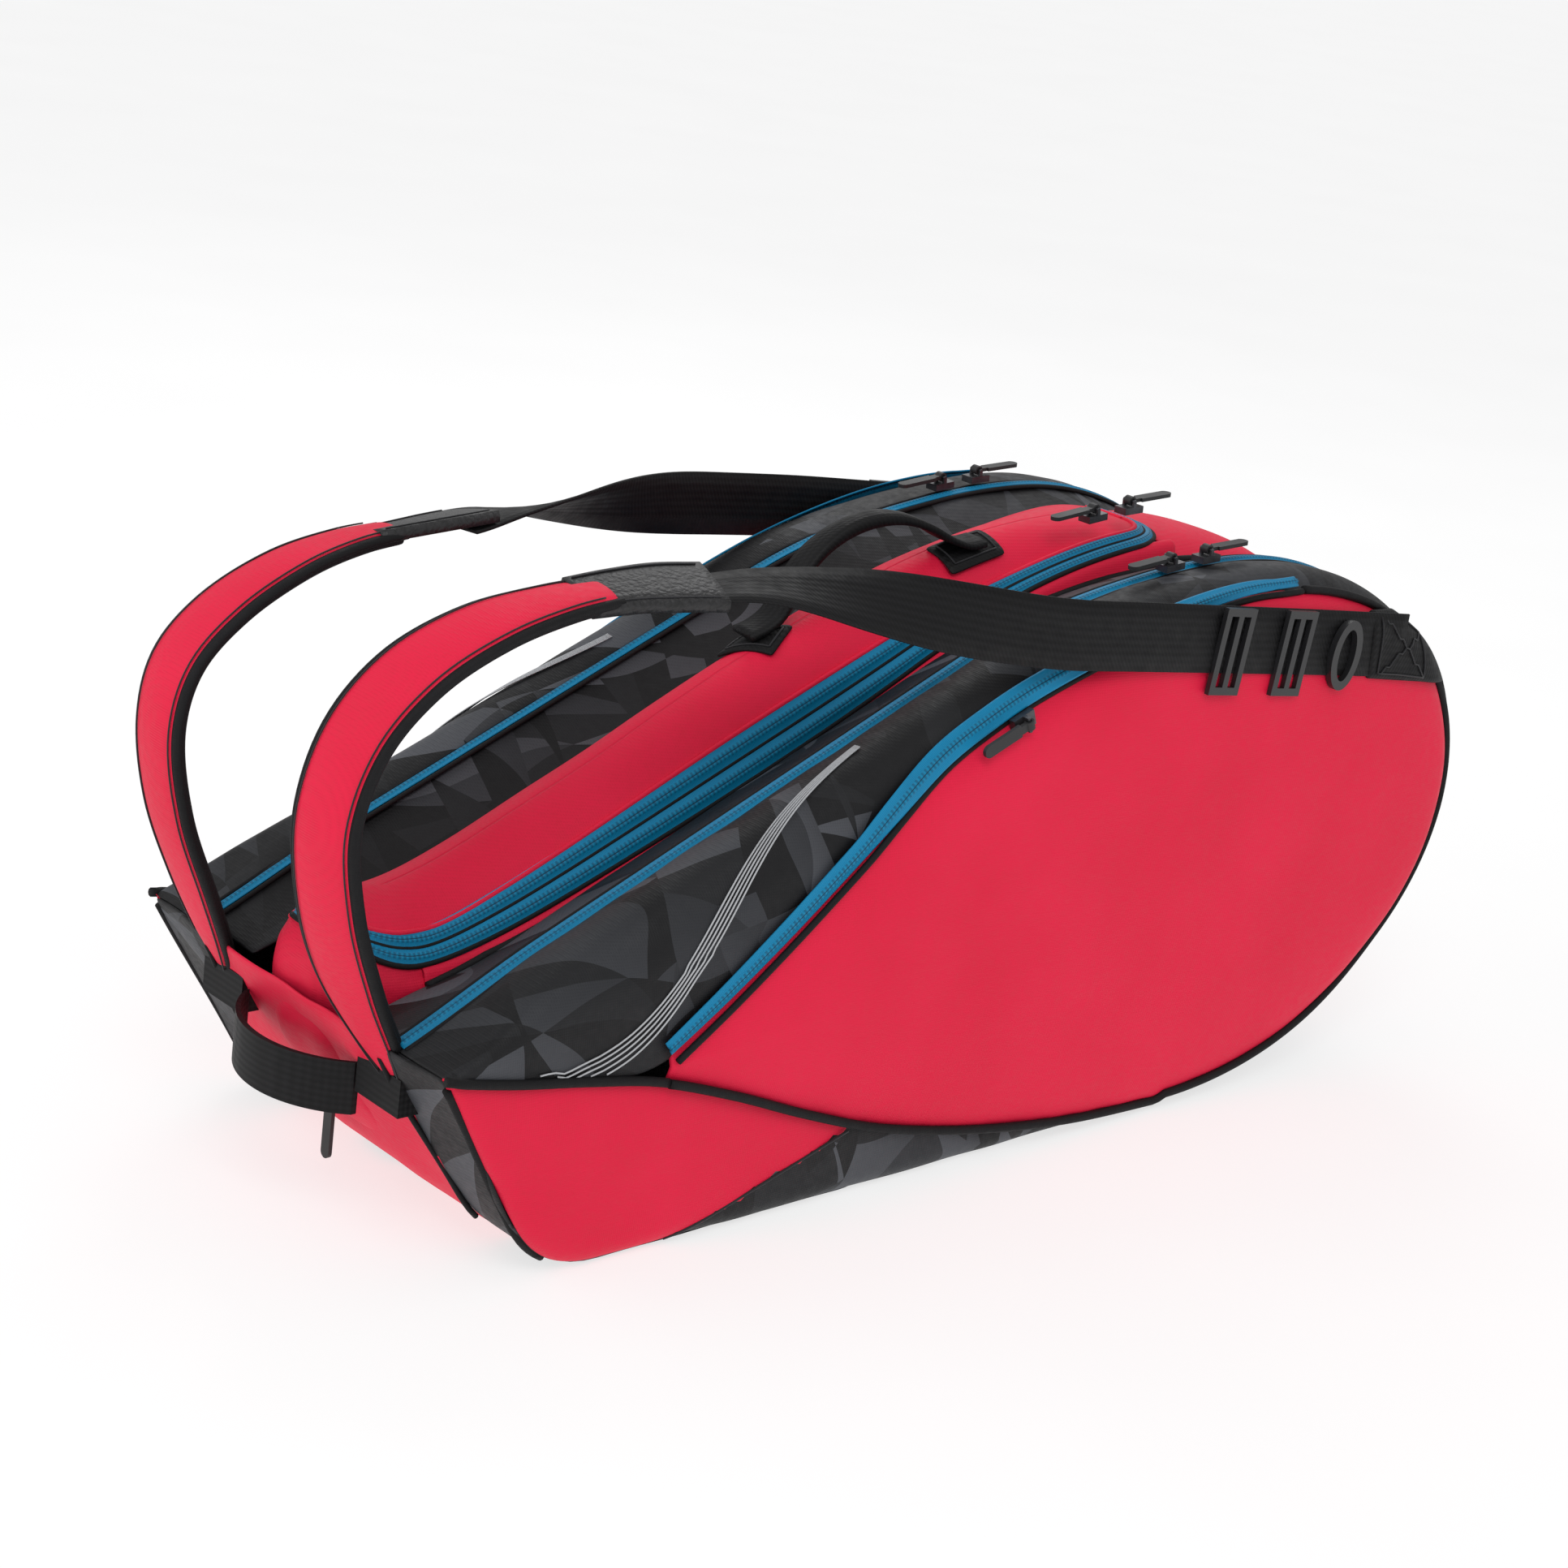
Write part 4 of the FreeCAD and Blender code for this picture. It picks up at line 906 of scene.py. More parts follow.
def panel_loop():
    """Closed chain of the pocket panel: its zip edge, the head rim and the lower seam."""
    start = float(OUT.top(POCKET_EDGE[-1, 0])) + 6.0
    rim = rim_points(start, OUT.floor - 2.0, RIM)
    lower = SEAM[SEAM[:, 0] > POCKET_EDGE[0, 0] - 1][::-1]
    lower = lower[lower[:, 0] < rim[-1, 0] - 2]
    return POCKET_EDGE, rim, lower


def column_limits():
    edge, rim, lower = panel_loop()
    top_index = int(np.argmax(rim[:, 0]))
    upper = np.vstack([edge, rim[: top_index + 1]])
    under = np.vstack([lower[::-1], rim[top_index:][::-1]])
    return upper, under


def make_pocket_panel(side, sign):
    """Padded red panel: crowned inside its piping, tight along its seams."""
    body = f"{side}_side"
    upper, under = column_limits()
    left = POCKET_EDGE[0, 0]
    right = upper[-1, 0] - 0.3
    share = np.linspace(0, 1, 110)
    x = left + (right - left) * np.sin(share * np.pi / 2) ** 0.9
    high = np.interp(x, upper[:, 0], upper[:, 1])
    low = np.interp(x, under[:, 0], under[:, 1])
    rows = 44
    across = padded_edge(rows)
    xz = np.stack(
        [
            np.repeat(x, rows),
            (low[:, None] + (high - low)[:, None] * across[None]).ravel(),
        ],
        axis=1,
    )
    loop = np.vstack([upper, under[::-1]])
    gap = np.sqrt(((xz[:, None] - loop[None, ::2]) ** 2).sum(axis=2)).min(axis=1)
    crown = 5.5 * (1 - np.exp(-gap / 11.0)) + 2.5 * np.sin(np.clip(gap / 110.0, 0, 1) * np.pi / 2)
    y = sign * (face_y(xz) - 0.5 + crown)
    points = np.stack([xz[:, 0], y, xz[:, 1]], axis=1).reshape(len(x), rows, 3)
    points = creased(points, 55.0, 0.9, 21.0)
    piece = skin(f"{side}_side_panel", points, body, [RED], 3.0, (0, 0, 150))
    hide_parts(f"{side}_pocket_panel")
    lower = under[(under[:, 0] < right - 1)]
    piping = even(np.vstack([lower, upper[::-1][: len(upper) - len(POCKET_EDGE)]]), 5.0)
    piping = piping[piping[:, 0] > left - 1]
    path = on_side(piping, 2.4, sign)
    cord_edge(f"{side}_panel_piping", path, 2.6, body, (0, sign, 0))
    edge = even(POCKET_EDGE, 4.0)
    path = on_side(edge, 0.0, sign)
    lift = side_normals(path, sign)
    width = 6.5 + 6.5 * np.sin(np.pi * np.clip((np.arange(len(edge)) + 6) / len(edge), 0, 1)) ** 0.6
    tape = zip_band(f"{side}_pocket_zip_tape", path + lift * 2.6 + np.array([-2.5, 0, 3.0]),
                    lift, width, body, 1.8)
    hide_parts(f"{side}_pocket_zip")
    cord_edge(f"{side}_pocket_zip_welt", path + lift * 4.2 + np.array([3.2, 0, -4.2]), 1.9, body,
              (0, sign, 0))


def make_lower_shell(side, sign):
    """Lower side: red towards the nose, camouflage belly behind the slanting seam."""
    foot = OUT.foot
    bottom_s = np.concatenate([np.linspace(OUT.total - 1.0, foot, 22), np.linspace(foot, OUT.floor, 70)[1:]])
    bottom, normal = OUT.at(bottom_s)
    top_x = np.interp(np.linspace(0, 1, len(bottom)) ** 0.93,
                      np.linspace(0, 1, len(SEAM)), SEAM[:, 0])
    top = np.stack([top_x, seam_z(top_x)], axis=1)
    rows = 26
    share = padded_edge(rows)
    xz = top[:, None] * (1 - share)[None, :, None] + bottom[:, None] * share[None, :, None]
    flat = xz.reshape(-1, 2)
    gap = np.abs(flat[:, 1] - seam_z(flat[:, 0]))
    y = face_y(flat, 2.0) - 1.5 + 3.0 * (1 - np.exp(-gap / 9.0))
    y = y.reshape(len(bottom), rows)
    points = np.stack([xz[:, :, 0], sign * y, xz[:, :, 1]], axis=2)
    under_rows = []
    for y_under in np.linspace(1, 0, 8)[1:]:
        across = ZIP_PLANE + (HALF - ZIP_PLANE) * y_under
        lift = normal * np.clip(normal[:, 1:] * -0.0, 0, 1)
        edge_y = np.minimum(y[:, -1], across)
        under_rows.append(np.stack([bottom[:, 0] + lift[:, 0], sign * edge_y, bottom[:, 1]], axis=1))
    points = np.concatenate([points, np.stack(under_rows, axis=1)], axis=1)
    points = creased(points, 40.0, 0.8, 33.0)
    points[:, :, 2] = np.maximum(points[:, :, 2], 0.4)

    def colour(p):
        if abs(p[1]) < HALF - 6.0 and p[0] < FOOT_X + 40.0:
            return 1
        slant = -105.0 - (42.0 - p[2]) * 3.1
        return 1 if p[0] > slant or (abs(p[1]) < HALF - 6.0 and p[2] < 3.0) else 0

    piece = skin(f"{side}_lower_panel", points, "bag_shell", [RED, CAMO], 2.0,
                 (0, 0, 150), colour)
    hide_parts(f"{side}_lower_shell")
    seam = even(SEAM[SEAM[:, 0] < POCKET_EDGE[0, 0] + 2], 4.0)
    path = on_side(seam, 0.8, sign)
    cord_edge(f"{side}_seam_piping", path, 2.6, "bag_shell", (0, sign, 0))
    edge_s = np.arange(foot - 30.0, OUT.total - 2.0, 5.0)
    edge, _ = OUT.at(edge_s)
    path = on_side(edge, 0.4, sign)
    cord_edge(f"{side}_corner_piping", path, 2.3, "bag_shell", (0, sign, 0))
    slant = np.array([(-105.0 - (42.0 - z) * 3.1, z) for z in np.linspace(41.0, 3.0, 22)])
    stitch = on_side(slant, 1.4, sign)
    cord_edge(f"{side}_slant_seam", stitch, 0.8, "bag_shell", (0, sign, 0), THREAD)


# ---------------------------------------------------------------------------------------------
# Centre lobe: lid, wide zip, valleys, nose bulge and head
# ---------------------------------------------------------------------------------------------
LID_NOSE = -366.0
LID_HEAD = 197.0
LID_HALF = 42.0
ZIP_RUN = 12.0
LID_CORNER = 34.0


def knots(x, table):
    """Smoothly read a short table of (x, value)."""
    table = np.asarray(table, float)
    chain = curve_through(table, 2.0)
    return np.interp(x, chain[:, 0], chain[:, 1])


def zip_low(x):
    """Height of the wide zip's lower edge."""
    return OUT.height(x) + knots(x, [(-370, 27), (-359, 18), (-342, 4), (-322, -6), (-280, -15),
                                     (-187, -21), (-60, -22), (10, -18), (68, -11), (150, -5),
                                     (200, -2)])


def zip_high(x):
    """Height of the wide zip's upper edge."""
    return OUT.height(x) + knots(x, [(-370, 35), (-352, 23), (-331, 11), (-310, 3), (-269, 0),
                                     (-126, 2), (-15, 0), (60, -3), (148, 1), (200, 2)])


def lid_crest(x):
    """Height of the lid's middle."""
    return OUT.height(x) + knots(x, [(-370, 40), (-340, 27), (-300, 19), (-230, 18), (-150, 21),
                                     (-80, 23), (0, 20), (60, 15), (120, 10), (180, 5), (200, 3)])


def lid_loop(inset, step=4.0):
    """Rounded rectangle of the lid in plan, from the far head end round the near side and back."""
    low_x = LID_NOSE + inset
    high_x = LID_HEAD - inset
    half = LID_HALF - inset
    radius = max(LID_CORNER - inset, 6.0)
    chain = []
    corners = [
        (high_x - radius, -half + radius, 0, -90),
        (low_x + radius, -half + radius, -90, -180),
        (low_x + radius, half - radius, 180, 90),
        (high_x - radius, half - radius, 90, 0),
    ]
    for cx, cy, start, end in corners:
        for angle in np.radians(np.linspace(start, end, 12)):
            chain.append((cx + radius * math.cos(angle), cy + radius * math.sin(angle)))
    chain.append(chain[0])
    return even(np.array(chain), step)


def ring_resampled(loop, count):
    share = np.linspace(0, 1, count)
    lengths = np.concatenate([[0], np.cumsum(np.linalg.norm(np.diff(loop, axis=0), axis=1))])
    wanted = share * lengths[-1]
    return np.stack([np.interp(wanted, lengths, loop[:, k]) for k in (0, 1)], axis=1)


def unbroken(chosen):
    """Places chosen on a closed loop, in one run that doesn't jump."""
    order = np.arange(len(chosen))[chosen]
    jump = np.diff(order) > 1
    split = int(np.argmax(jump)) + 1 if np.any(jump) else 0
    return np.concatenate([order[split:], order[:split]])


def make_lid():
    count = 330
    low = ring_resampled(lid_loop(0.0), count)
    high = ring_resampled(lid_loop(ZIP_RUN), count)
    low_z = zip_low(low[:, 0])
    high_z = zip_high(high[:, 0])
    rings = []
    for f in np.concatenate([[0.0, 0.02, 0.05], np.linspace(0.1, 1, 17)]):
        spine_x = np.clip(high[:, 0], LID_NOSE + 40, LID_HEAD - 40)
        x = high[:, 0] * (1 - f) + spine_x * f
        y = high[:, 1] * (1 - f)
        crest = lid_crest(x)
        edge = zip_high(x) * 0.35 + high_z * 0.65
        z = edge + (crest - edge) * math.sin(f * math.pi / 2) ** 0.85
        rings.append(np.stack([x, y, z], axis=1))
    points = np.stack(rings, axis=1)
    points = creased(points, 60.0, 1.0, 41.0)
    lid = skin("lid_panel", points, "lid", [RED], 2.0, (0, 0, -400), ease=0)
    weld(lid, 0.6)
    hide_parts("centre_lid")
    middle = low * 0.5 + high * 0.5
    near = middle[:, 1] < 22.0
    order = unbroken(near)
    low_path = np.stack([low[:, 0], low[:, 1], low_z], axis=1)[order]
    high_path = np.stack([high[:, 0], high[:, 1], high_z], axis=1)[order]
    along = unit(np.gradient((low_path + high_path) / 2, axis=0))
    up = unit(high_path - low_path)
    lift = unit(np.cross(along, up))
    if lift[len(lift) // 2, 1] > 0:
        lift = -lift
    width = np.linalg.norm(high_path - low_path, axis=1)
    for name, share, body, size in (("lower", 0.25, "bag_shell", 0.48), ("upper", 0.75, "lid", 0.48)):
        path = low_path * (1 - share) + high_path * share + lift * 0.9
        band = zip_band(f"wide_zip_{name}", path, lift, width * size, body, 1.5)
        if name == "upper":
            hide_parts("centre_zip")
    for name, share, body, radius in (("top", 1.0, "lid", 1.5), ("foot", 0.0, "bag_shell", 1.5)):
        path = low_path * (1 - share) + high_path * share + lift * 0.4
        cord_edge(f"wide_zip_{name}_welt", path, radius, body,
                  material=BLACK_CLOTH if name == "foot" else RED)
    seam = low_path * 0.5 + high_path * 0.5 + lift * 0.6
    cord_edge("wide_zip_gap", seam, 1.1, "bag_shell")
    make_lid_hinge(np.column_stack([low, low_z]), np.column_stack([high, high_z]))


def make_lid_hinge(low, high):
    """Fabric that joins the lid's far edge to the rail."""
    far = (low[:, 1] + high[:, 1]) / 2 > 20.0
    order = unbroken(far)
    rows = []
    for share in np.linspace(-0.15, 1.08, 9):
        row = low[order] * (1 - share) + high[order] * share
        row[:, 2] += 2.4 * math.sin(min(max(share, 0.0), 1.0) * math.pi) - 0.3
        rows.append(row)
    band = skin("lid_hinge_band", np.stack(rows, axis=1), None, [RED], 2.0,
                (-80, -60, 200))
    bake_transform(band)


def weld(obj, distance):
    work = bmesh.new()
    work.from_mesh(obj.data)
    bmesh.ops.remove_doubles(work, verts=work.verts, dist=distance * MM)
    work.to_mesh(obj.data)
    work.free()


def make_rail(side, sign):
    """Red band below the wide zip, turning down into the black valley."""
    x = np.linspace(LID_NOSE + 38, LID_HEAD - 4, 150)
    rows = []
    for value in x:
        s = float(OUT.top(max(value, NOSE[0] + 3)))
        xz, _ = OUT.at(s)
        dip = float(lobe_rise(VALLEY, s))
        low = zip_low(value)
        floor_z = min(xz[1] + dip - 2.0, low - 6.0)
        blend_z = [low + 1.0, low - 0.5, low - 2.0, (low + floor_z) / 2 - 1.0, floor_z, floor_z - 3.0]
        reach = [LID_HALF - 2.0, LID_HALF + 1.0, LID_HALF + 3.2, LID_HALF + 4.3, VALLEY + 0.6, VALLEY + 3.0]
        rows.append([(value, sign * y, z) for y, z in zip(reach, blend_z)])
    points = np.array(rows)
    points = creased(points, 40.0, 0.6, 51.0)
    piece = skin(f"{side}_rail_band", points, "bag_shell", [RED], 2.0, (0, 0, 0))
    if side == "front":
        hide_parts("front_rail")
    welt = points[:, 4] + np.array([0, sign * 0.8, 2.4])
    cord_edge(f"{side}_valley_welt", welt, 2.2, "bag_shell")


def make_divider(side, sign):
    """Padded wall between two compartments, its top edge below the valley."""
    lengths = np.concatenate([np.arange(10.0, OUT.foot, 9.0), [OUT.foot]])
    xz, normal = OUT.at(lengths)
    edge = xz - normal * 22.0
    edge[:, 1] = np.maximum(edge[:, 1], 3.0)
    spine = np.stack([np.clip(edge[:, 0], -290.0, 290.0), np.full(len(edge), 95.0)], axis=1)
    rows = []
    for share in (0.0, 0.3, 0.65, 1.0):
        place = edge * (1 - share) + spine * share
        rows.append(np.stack([place[:, 0], np.full(len(place), sign * 46.0), place[:, 1]], axis=1))
    points = np.stack(rows, axis=1)
    wall = skin(f"{side}_divider_wall", points, "bag_shell", [LINING], 3.0,
                (0, -sign * 400, 100), ease=0)
    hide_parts(f"{side}_divider")


def make_centre_shell():
    """Red nose bulge, floor and head of the centre lobe."""
    loop = lid_loop(0.0, 3.0)
    ahead = unit(np.roll(loop, -1, axis=0) - np.roll(loop, 1, axis=0))
    away = np.stack([ahead[:, 1], -ahead[:, 0]], axis=1)
    away *= np.sign((away * (loop - [-85.0, 0.0])).sum(axis=1, keepdims=True))
    front_part = loop[:, 0] < LID_NOSE + 66
    loop = loop[front_part]
    away = away[front_part]
    side_first = np.argsort(-np.arctan2(loop[:, 1], -(loop[:, 0] - (LID_NOSE + 70))))
    loop = loop[side_first]
    away = away[side_first]
    half = np.linspace(-VALLEY - 1, VALLEY + 1, 27)
    rows = []
    for share in np.linspace(0, 1, 30):
        row = []
        for (x, y), (nx, ny) in zip(loop, away):
            z = (zip_low(x) - 0.5) * (1 - share) + 40.0 * share
            swell = np.interp(z, [40, 58, 75, 95, 115, 135, 150], [-32, -17, -6, 4, 7, 5, 0])
            sideways = 5.0 * float(smooth(share, 0.0, 0.12))
            row.append((x + nx * swell, y + ny * sideways, z))
        rows.append(row)
    points = creased(np.array(rows), 26.0, 2.4, 61.0)
    bulge = skin("nose_bulge", points, "bag_shell", [RED], 2.0, (-250, 0, 100))
    start = float(OUT.top(LID_HEAD - 8))
    lengths = np.concatenate(
        [np.arange(start, OUT.floor, 7.0), np.arange(OUT.floor, OUT.foot, 16.0), [OUT.foot]]
    )

    def rise(y, s):
        _, normal = OUT.at(s)
        tall = float(np.clip(0.5 + 0.8 * normal[1], 0, 1))
        return -(10.0 * tall + 3.0 * (normal[1] > -0.9)) * (abs(y) / (VALLEY + 1)) ** 3

    rows = band_grid(lengths, half, rise)
    rows = creased(rows, 40.0, 0.8, 71.0)
    rows[:, :, 2] = np.maximum(rows[:, :, 2], 0.4)
    head = skin("centre_head", rows, "bag_shell", [RED, BLACK_CLOTH], 2.0,
                (0, 0, 150), lambda p: 1 if p[2] < 6.0 else 0)
    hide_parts("centre_shell")
    for side, sign in SIDES.items():
        path = rows[:-6, 0 if sign < 0 else -1]
        path = path[path[:, 2] > 8]
        cord_edge(f"{side}_head_valley_welt", path, 2.2, "bag_shell")


def make_end_wall():
    """Flat end wall below the lobes: red middle, camouflage strips towards the corners."""
    lengths = np.concatenate(
        [
            np.linspace(OUT.floor + 240, OUT.foot, 14)[:-1],
            np.arange(OUT.foot, OUT.total - 1.0, 5.0),
            [OUT.total - 0.5],
        ]
    )
    strip = np.linspace(HALF - 4.6, 46.0, 16)
    half = np.concatenate([-strip, np.linspace(-40, 40, 9), np.linspace(46.0, HALF - 4.6, 16)])

    def rise(y, s):
        share = abs(y) / HALF
        xz, _ = OUT.at(s)
        lift = smooth(xz[1], 4.0, 40.0) * (1 - 0.35 * smooth(xz[1], 90.0, 118.0))
        return float(5.0 * lift * (1 - share**3.0))

    points = band_grid(lengths, half, rise)
    points = creased(points, 30.0, 1.8, 81.0)
    points[:, :, 2] = np.maximum(points[:, :, 2], 0.4)

    def colour(p):
        edge = 92.0 - 14.0 * float(smooth(p[2], 30.0, 110.0))
        return 1 if abs(p[1]) > edge else 0

    skin("end_wall", points, "bag_shell", [RED, CAMO], 2.0, (0, 0, 110), colour)
    for side, sign in SIDES.items():
        chain = []
        for s in np.arange(OUT.foot - 10, OUT.total - 6, 6.0):
            xz, normal = OUT.at(s)
            y = 92.0 - 14.0 * float(smooth(xz[1], 30.0, 110.0))
            place = xz + normal * (rise(y, s) + 0.8)
            chain.append((place[0], sign * y, place[1]))
        cord_edge(f"{side}_wall_seam", chain, 1.5, "bag_shell", (-1, 0, 0))


# ---------------------------------------------------------------------------------------------
# Straps
# ---------------------------------------------------------------------------------------------
STRAP_LINE = [(-358, 79, 92, 8), (-372, 75, 116, 30), (-391, 70, 152, 47), (-407, 72, 194, 47),
              (-413, 74, 238, 44), (-403, 77, 272, 45), (-378, 80, 298, 46), (-340, 84, 317, 42),
              (-302, 87, 326, 33), (-274, 88, 329, 28)]
STRAP_LIFT = {"front": 8.0, "back": -8.0}


def strap_sag(side, x, z):
    """The two straps lean a little differently: one stands up, the other has sunk."""
    return z + STRAP_LIFT[side] * smooth(z, 230.0, 320.0) * (1 - smooth(x, -225.0, 20.0))


def make_strap(side, sign):
    """Padded strap: red face, black foam back and bound edges."""
    body = f"{side}_strap"
    table = np.array(STRAP_LINE, float)
    chain = curve_through(table, 5.0)
    path = chain[:, :3] * np.array([1, sign, 1])
    path[:, 2] = strap_sag(side, path[:, 0], path[:, 2])
    width = chain[:, 3]
    ahead = unit(np.gradient(path, axis=0))
    outward = unit(np.cross(ahead, np.array([0.0, sign * 1.0, 0.0])))
    outward *= np.sign(outward[:, :1] * -1 + outward[:, 2:3] * 1 + 1e-6)
    tilt = outward + np.array([0, sign * 0.10, 0])
    section = []
    tags = []
    top = np.linspace(-0.44, 0.44, 15)
    for value in top:
        section.append((value, 3.6 + 2.6 * (1 - (value / 0.44) ** 2) ** 0.7))
        tags.append(0)
    tags[-1] = 1
    for angle in np.linspace(80, -80, 7):
        section.append((0.44 + 0.06 * math.cos(math.radians(angle)), 3.4 * math.sin(math.radians(angle))))
        tags.append(1)
    for value in top[::-1]:
        section.append((value, -3.9 - 1.2 * (1 - (value / 0.44) ** 2)))
        tags.append(1)
    for angle in np.linspace(-100, -260, 7):
        section.append((-0.44 + 0.06 * math.cos(math.radians(angle)), 3.4 * math.sin(math.radians(angle))))
        tags.append(1)
    scale = [(w, min(1.0, 0.45 + w / 60)) for w in width]
    pad = sweep(f"{side}_strap_cushion", path, tilt, section, body,
                [RED, BLACK_CLOTH], tags, scale)
    pad.modifiers.new("ease", "SUBSURF").levels = 1
    pad.modifiers["ease"].render_levels = 1
    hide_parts(f"{side}_strap_pad")
    side_dir, lift = frames_along(path, tilt)
    for tag, share in (("near", -0.47), ("far", 0.47)):
        edge = path + side_dir * (width[:, None] * share) + lift * 1.2
        cord_edge(f"{side}_strap_binding_{tag}", edge, 2.5, body, tilt)
        stitch = path + side_dir * (width[:, None] * share * 0.86) + lift * 4.9
        cord_edge(f"{side}_strap_stitch_{tag}", stitch[2:-2], 0.45, body, tilt[2:-2],
                  THREAD)


def make_tab(side, sign):
    """Textured tab sewn over the strap's end, with the webbing coming out of it."""
    chain = curve_through([(-291, sign * 87, 328, 29), (-264, sign * 89, 330, 33),
                           (-240, sign * 93, 331, 38), (-216, sign * 99, 331, 39)], 4.0)
    path = chain[:, :3]
    path[:, 2] = strap_sag(side, path[:, 0], path[:, 2])
    section = [(-0.5, -3.6), (-0.52, 0), (-0.5, 4.4), (-0.25, 5.2), (0, 5.4), (0.25, 5.2),
               (0.5, 4.4), (0.52, 0), (0.5, -3.6), (0, -4.2)]
    up = np.tile(np.array([[0.0, sign * 0.25, 1.0]]), (len(path), 1))
    tab = sweep(f"{side}_tab_cover", path, up, section, f"{side}_strap", [TRIM],
                None, [(w, 0.8) for w in chain[:, 3]])
    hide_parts(f"{side}_strap_tab")
    across, lift = frames_along(path, up)
    for name, share in (("near", -0.42), ("far", 0.42)):
        stitch = path + across * (chain[:, 3:] * share) + lift * 4.1
        cord_edge(f"{side}_tab_stitch_{name}", stitch[1:-1], 0.45, f"{side}_strap", up[1:-1],
                  THREAD)


def make_webbing(side, sign):
    """Strap webbing: flat where it leaves the tab, turning on edge towards the head."""
    _, high = box_mm(f"{side}_strap_webbing")
    end_x = high[0] - 2.0
    line = curve_through([(-232, 95, 329), (-190, 104, 331), (-130, 117, 325), (-60, 131, 315),
                          (0, 139, 307), (60, 142, 301), (150, 142, 291), (230, 142, 282),
                          (end_x, 142, 274)], 6.0)
    path = line * np.array([1, sign, 1])
    path[:, 2] = strap_sag(side, path[:, 0], path[:, 2])
    turn = smooth(path[:, 0], -235.0, -20.0) * math.radians(86)
    up = np.stack([np.zeros(len(path)), sign * np.sin(turn) * np.sign(1.0), np.cos(turn)], axis=1)
    section = [(-19, -0.9), (-19.2, 0), (-19, 0.9), (-9, 1.0), (0, 1.0), (9, 1.0), (19, 0.9),
               (19.2, 0), (19, -0.9), (9, -1.0), (0, -1.0), (-9, -1.0)]
    strip = sweep(f"{side}_strap_band", path, up, section, f"{side}_strap", [WEBBING])
    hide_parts(f"{side}_strap_webbing")


def make_head_anchor(side, sign):
    """Webbing end sewn round the side panel's head, with its box stitch."""
    rows = []
    x = np.linspace(266.0, 388.0, 34)
    rim = rim_points(float(OUT.top(204.0)), OUT.head + 60.0, RIM - 5.0)
    peak = int(np.argmax(rim[:, 0]))
    roof = np.interp(x, rim[: peak + 1, 0], rim[: peak + 1, 1])
    for value, limit in zip(x, roof):
        top = min(limit, 299.0 - 0.10 * (value - 266.0))
        bottom = min(257.0 - 0.14 * (value - 266.0), top - 4.0)
        rows.append([(value, z) for z in np.linspace(bottom, top, 11)])
    flat = np.array(rows).reshape(-1, 2)
    proud = 9.5 - 4.0 * smooth(flat[:, 0], 330.0, 388.0)
    points = np.stack([flat[:, 0], sign * (face_y(flat) + proud), flat[:, 1]], axis=1)
    points = points.reshape(len(x), 11, 3)
    patch = skin(f"{side}_anchor_patch", points, f"{side}_side", [WEBBING], 5.0,
                 (200, 0, 100))
    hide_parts(f"{side}_head_anchor")
    inner = points[2:16, 1:-1] + np.array([0, sign * 0.5, 0])
    chains = (inner[:, 0], inner[:, -1], inner[0], inner[-1],
              np.array([inner[k, int(k * (inner.shape[1] - 1) / 13)] for k in range(14)]),
              np.array([inner[k, -1 - int(k * (inner.shape[1] - 1) / 13)] for k in range(14)]))
    for index, chain in enumerate(chains):
        cord_edge(f"{side}_anchor_stitch_{index + 1}", chain, 0.5, f"{side}_side", (0, sign, 0),
                  THREAD)


# ---------------------------------------------------------------------------------------------
# Carry handle on the lid
# ---------------------------------------------------------------------------------------------
def lid_surface(x, y):
    """Height of the lid's dome at a place in plan."""
    share = math.cos(min(abs(y) / (LID_HALF - ZIP_RUN), 1.0) * math.pi / 2)
    edge = zip_high(x)
    return float(edge + (lid_crest(x) - edge) * share**0.5)


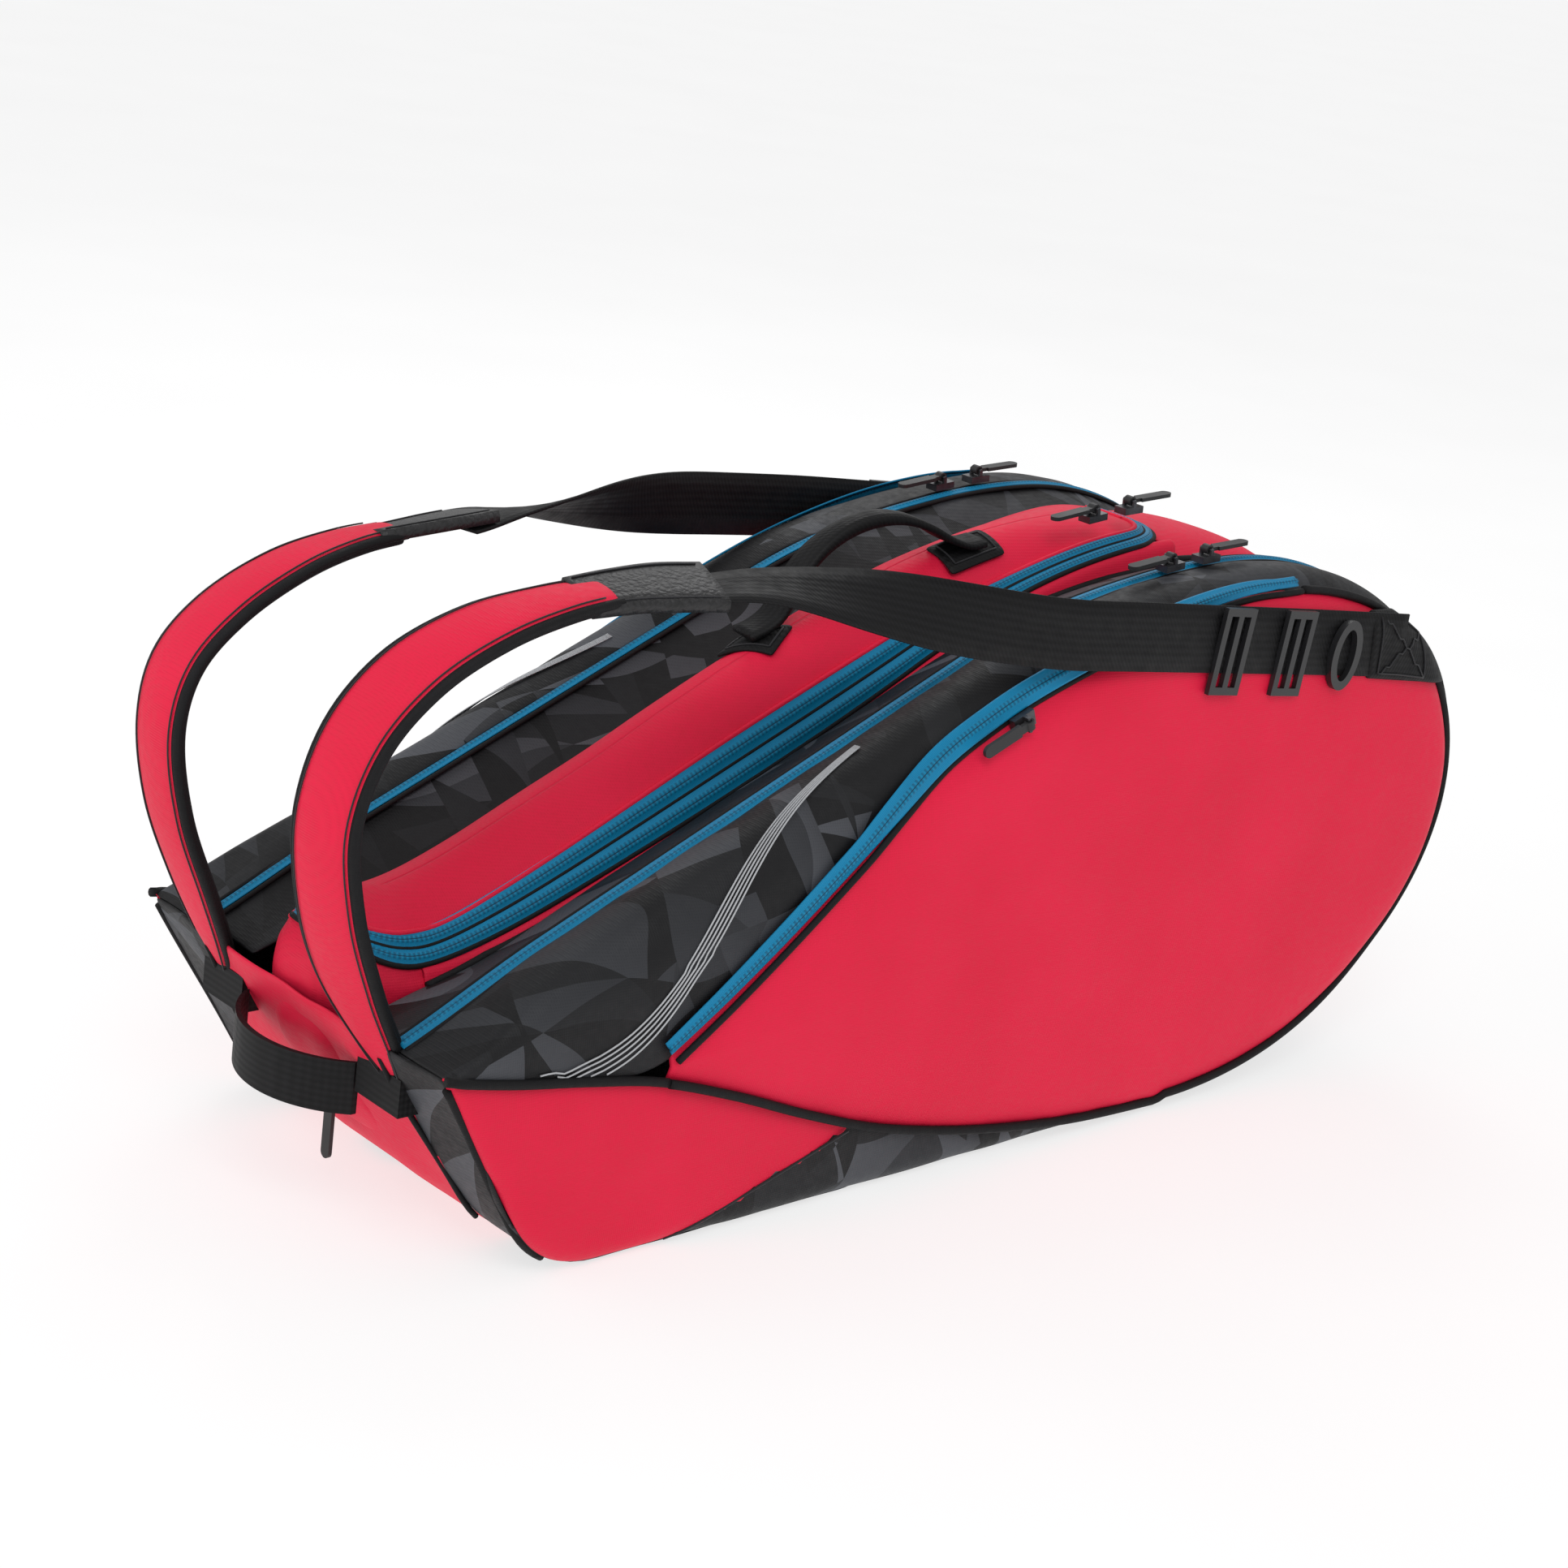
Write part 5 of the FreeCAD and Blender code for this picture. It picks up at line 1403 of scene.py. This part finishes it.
def make_handle():
    """Webbing handle with two sewn patches lying on the lid."""
    near = (-86.0, 7.0)
    far = (50.0, -12.0)
    for name, (px, py), turn, long in (("near", near, 1.15, 34.0), ("far", far, 0.0, 42.0)):
        rows = []
        for i in np.linspace(-0.5, 0.5, 9):
            row = []
            for j in np.linspace(-0.5, 0.5, 7):
                dx = i * long * math.cos(turn) - j * 25.0 * math.sin(turn)
                dy = -i * long * math.sin(turn) - j * 25.0 * math.cos(turn)
                x = px + dx
                y = py + dy
                row.append((x, y, lid_surface(x, y) + 2.2))
            rows.append(row)
        patch = skin(f"{name}_handle_patch", np.array(rows), "lid", [WEBBING], 2.6,
                     (0, 0, -400))
        if name == "near":
            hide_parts("handle_patches")
        flat = np.array(rows)
        for k, chain in enumerate((flat[1:-1, 1], flat[1:-1, -2], flat[1, 1:-1], flat[-2, 1:-1])):
            cord_edge(f"{name}_patch_stitch_{k + 1}", chain + [0, 0, 0.3], 0.5, "lid",
                      material=THREAD)
    start = np.array([near[0] - 6, near[1] + 3, lid_surface(*near) + 3.0])
    end = np.array([far[0] + 8, far[1], lid_surface(*far) + 4.5])
    slope = end - start
    normal = unit(np.array([-slope[2], 0, slope[0]]))
    chain = []
    for share, lift in ((0, 0.5), (0.06, 1.0), (0.13, 5.0), (0.2, 17.0), (0.3, 30.0), (0.42, 37.0),
                        (0.55, 38.0), (0.67, 33.0), (0.78, 22.0), (0.87, 9.0), (0.94, 2.0), (1.0, 0.5)):
        chain.append(start + slope * share + normal * lift)
    path = curve_through(chain, 4.0)
    up = unit(np.cross(np.gradient(path, axis=0), np.array([0.08, 1.0, 0.0])))
    up *= np.sign((up * normal).sum(axis=1, keepdims=True) + 1e-9)
    lengths = np.linspace(0, 1, len(path))
    fold = 1.0 - 0.30 * np.exp(-(((lengths - 0.5) / 0.2) ** 2))
    section = [(-10, -1.6), (-10.4, 0), (-10, 1.6), (-4, 2.2), (4, 2.2), (10, 1.6), (10.4, 0),
               (10, -1.6), (4, -1.9), (-4, -1.9)]
    handle = sweep("handle_loop", path, up, section, None, [WEBBING], None,
                   [(w, 1.0 + (1 - w) * 3.0) for w in fold])
    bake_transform(handle)
    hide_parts("carry_handle")


# ---------------------------------------------------------------------------------------------
# Building everything
# ---------------------------------------------------------------------------------------------
for side_name, side_sign in SIDES.items():
    make_cover(side_name, side_sign)
    make_inner_gusset(side_name, side_sign)
    make_main_zip(side_name, side_sign)
    make_pocket_panel(side_name, side_sign)
    make_lower_shell(side_name, side_sign)
    make_rail(side_name, side_sign)
    make_divider(side_name, side_sign)
    make_webbing(side_name, side_sign)
    make_head_anchor(side_name, side_sign)
    make_strap(side_name, side_sign)
    make_tab(side_name, side_sign)
make_lid()
make_centre_shell()
make_end_wall()
make_handle()

for node_name, node_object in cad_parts.items():
    obj = bpy.data.objects.get(node_name) if isinstance(node_object, (str, dict)) else node_object
    if obj is None or obj.type != "MESH":
        continue
    for entry in obj.material_slots:
        base = entry.material.name.split(".")[0] if entry.material else ""
        if base in NODE_MATERIALS:
            entry.material = NODE_MATERIALS[base]


# ---------------------------------------------------------------------------------------------
# Floor and light
# ---------------------------------------------------------------------------------------------
def make_stage():
    mesh = bpy.data.meshes.new("floor")
    size = 60.0
    mesh.from_pydata([(-size, -size, 0), (size, -size, 0), (size, size, 0), (-size, size, 0)], [],
                     [(0, 1, 2, 3)])
    n = Nodes("floor_paint")
    grain = n.noise(n.coordinates("Object"), 3.0, 2.0)
    colour = n.ramp(grain, [(0.3, (0.34, 0.34, 0.34)), (0.7, (0.36, 0.36, 0.36))])
    n.shader.inputs["Emission Color"].default_value = (1, 1, 1, 1)
    n.shader.inputs["Emission Strength"].default_value = 0.70
    mesh.materials.append(n.finish(colour, 0.9, specular=0.05))
    floor = bpy.data.objects.new("floor", mesh)
    bpy.context.collection.objects.link(floor)
    world = bpy.data.worlds.new("studio")
    bpy.context.scene.world = world
    world.use_nodes = True
    background = world.node_tree.nodes["Background"]
    background.inputs["Color"].default_value = (0.96, 0.96, 0.965, 1)
    background.inputs["Strength"].default_value = 0.62


bpy.context.scene.view_settings.view_transform = "Standard"
make_stage()
area_light("key", (-1.3, -1.6, 2.3), (0, 0, 0.15), 1.4, 20)
area_light("fill", (-1.8, 0.9, 1.4), (0, 0, 0.15), 1.8, 9)
area_light("rim", (1.2, 1.4, 1.8), (0, 0, 0.2), 1.2, 9)

bpy.context.view_layer.update()
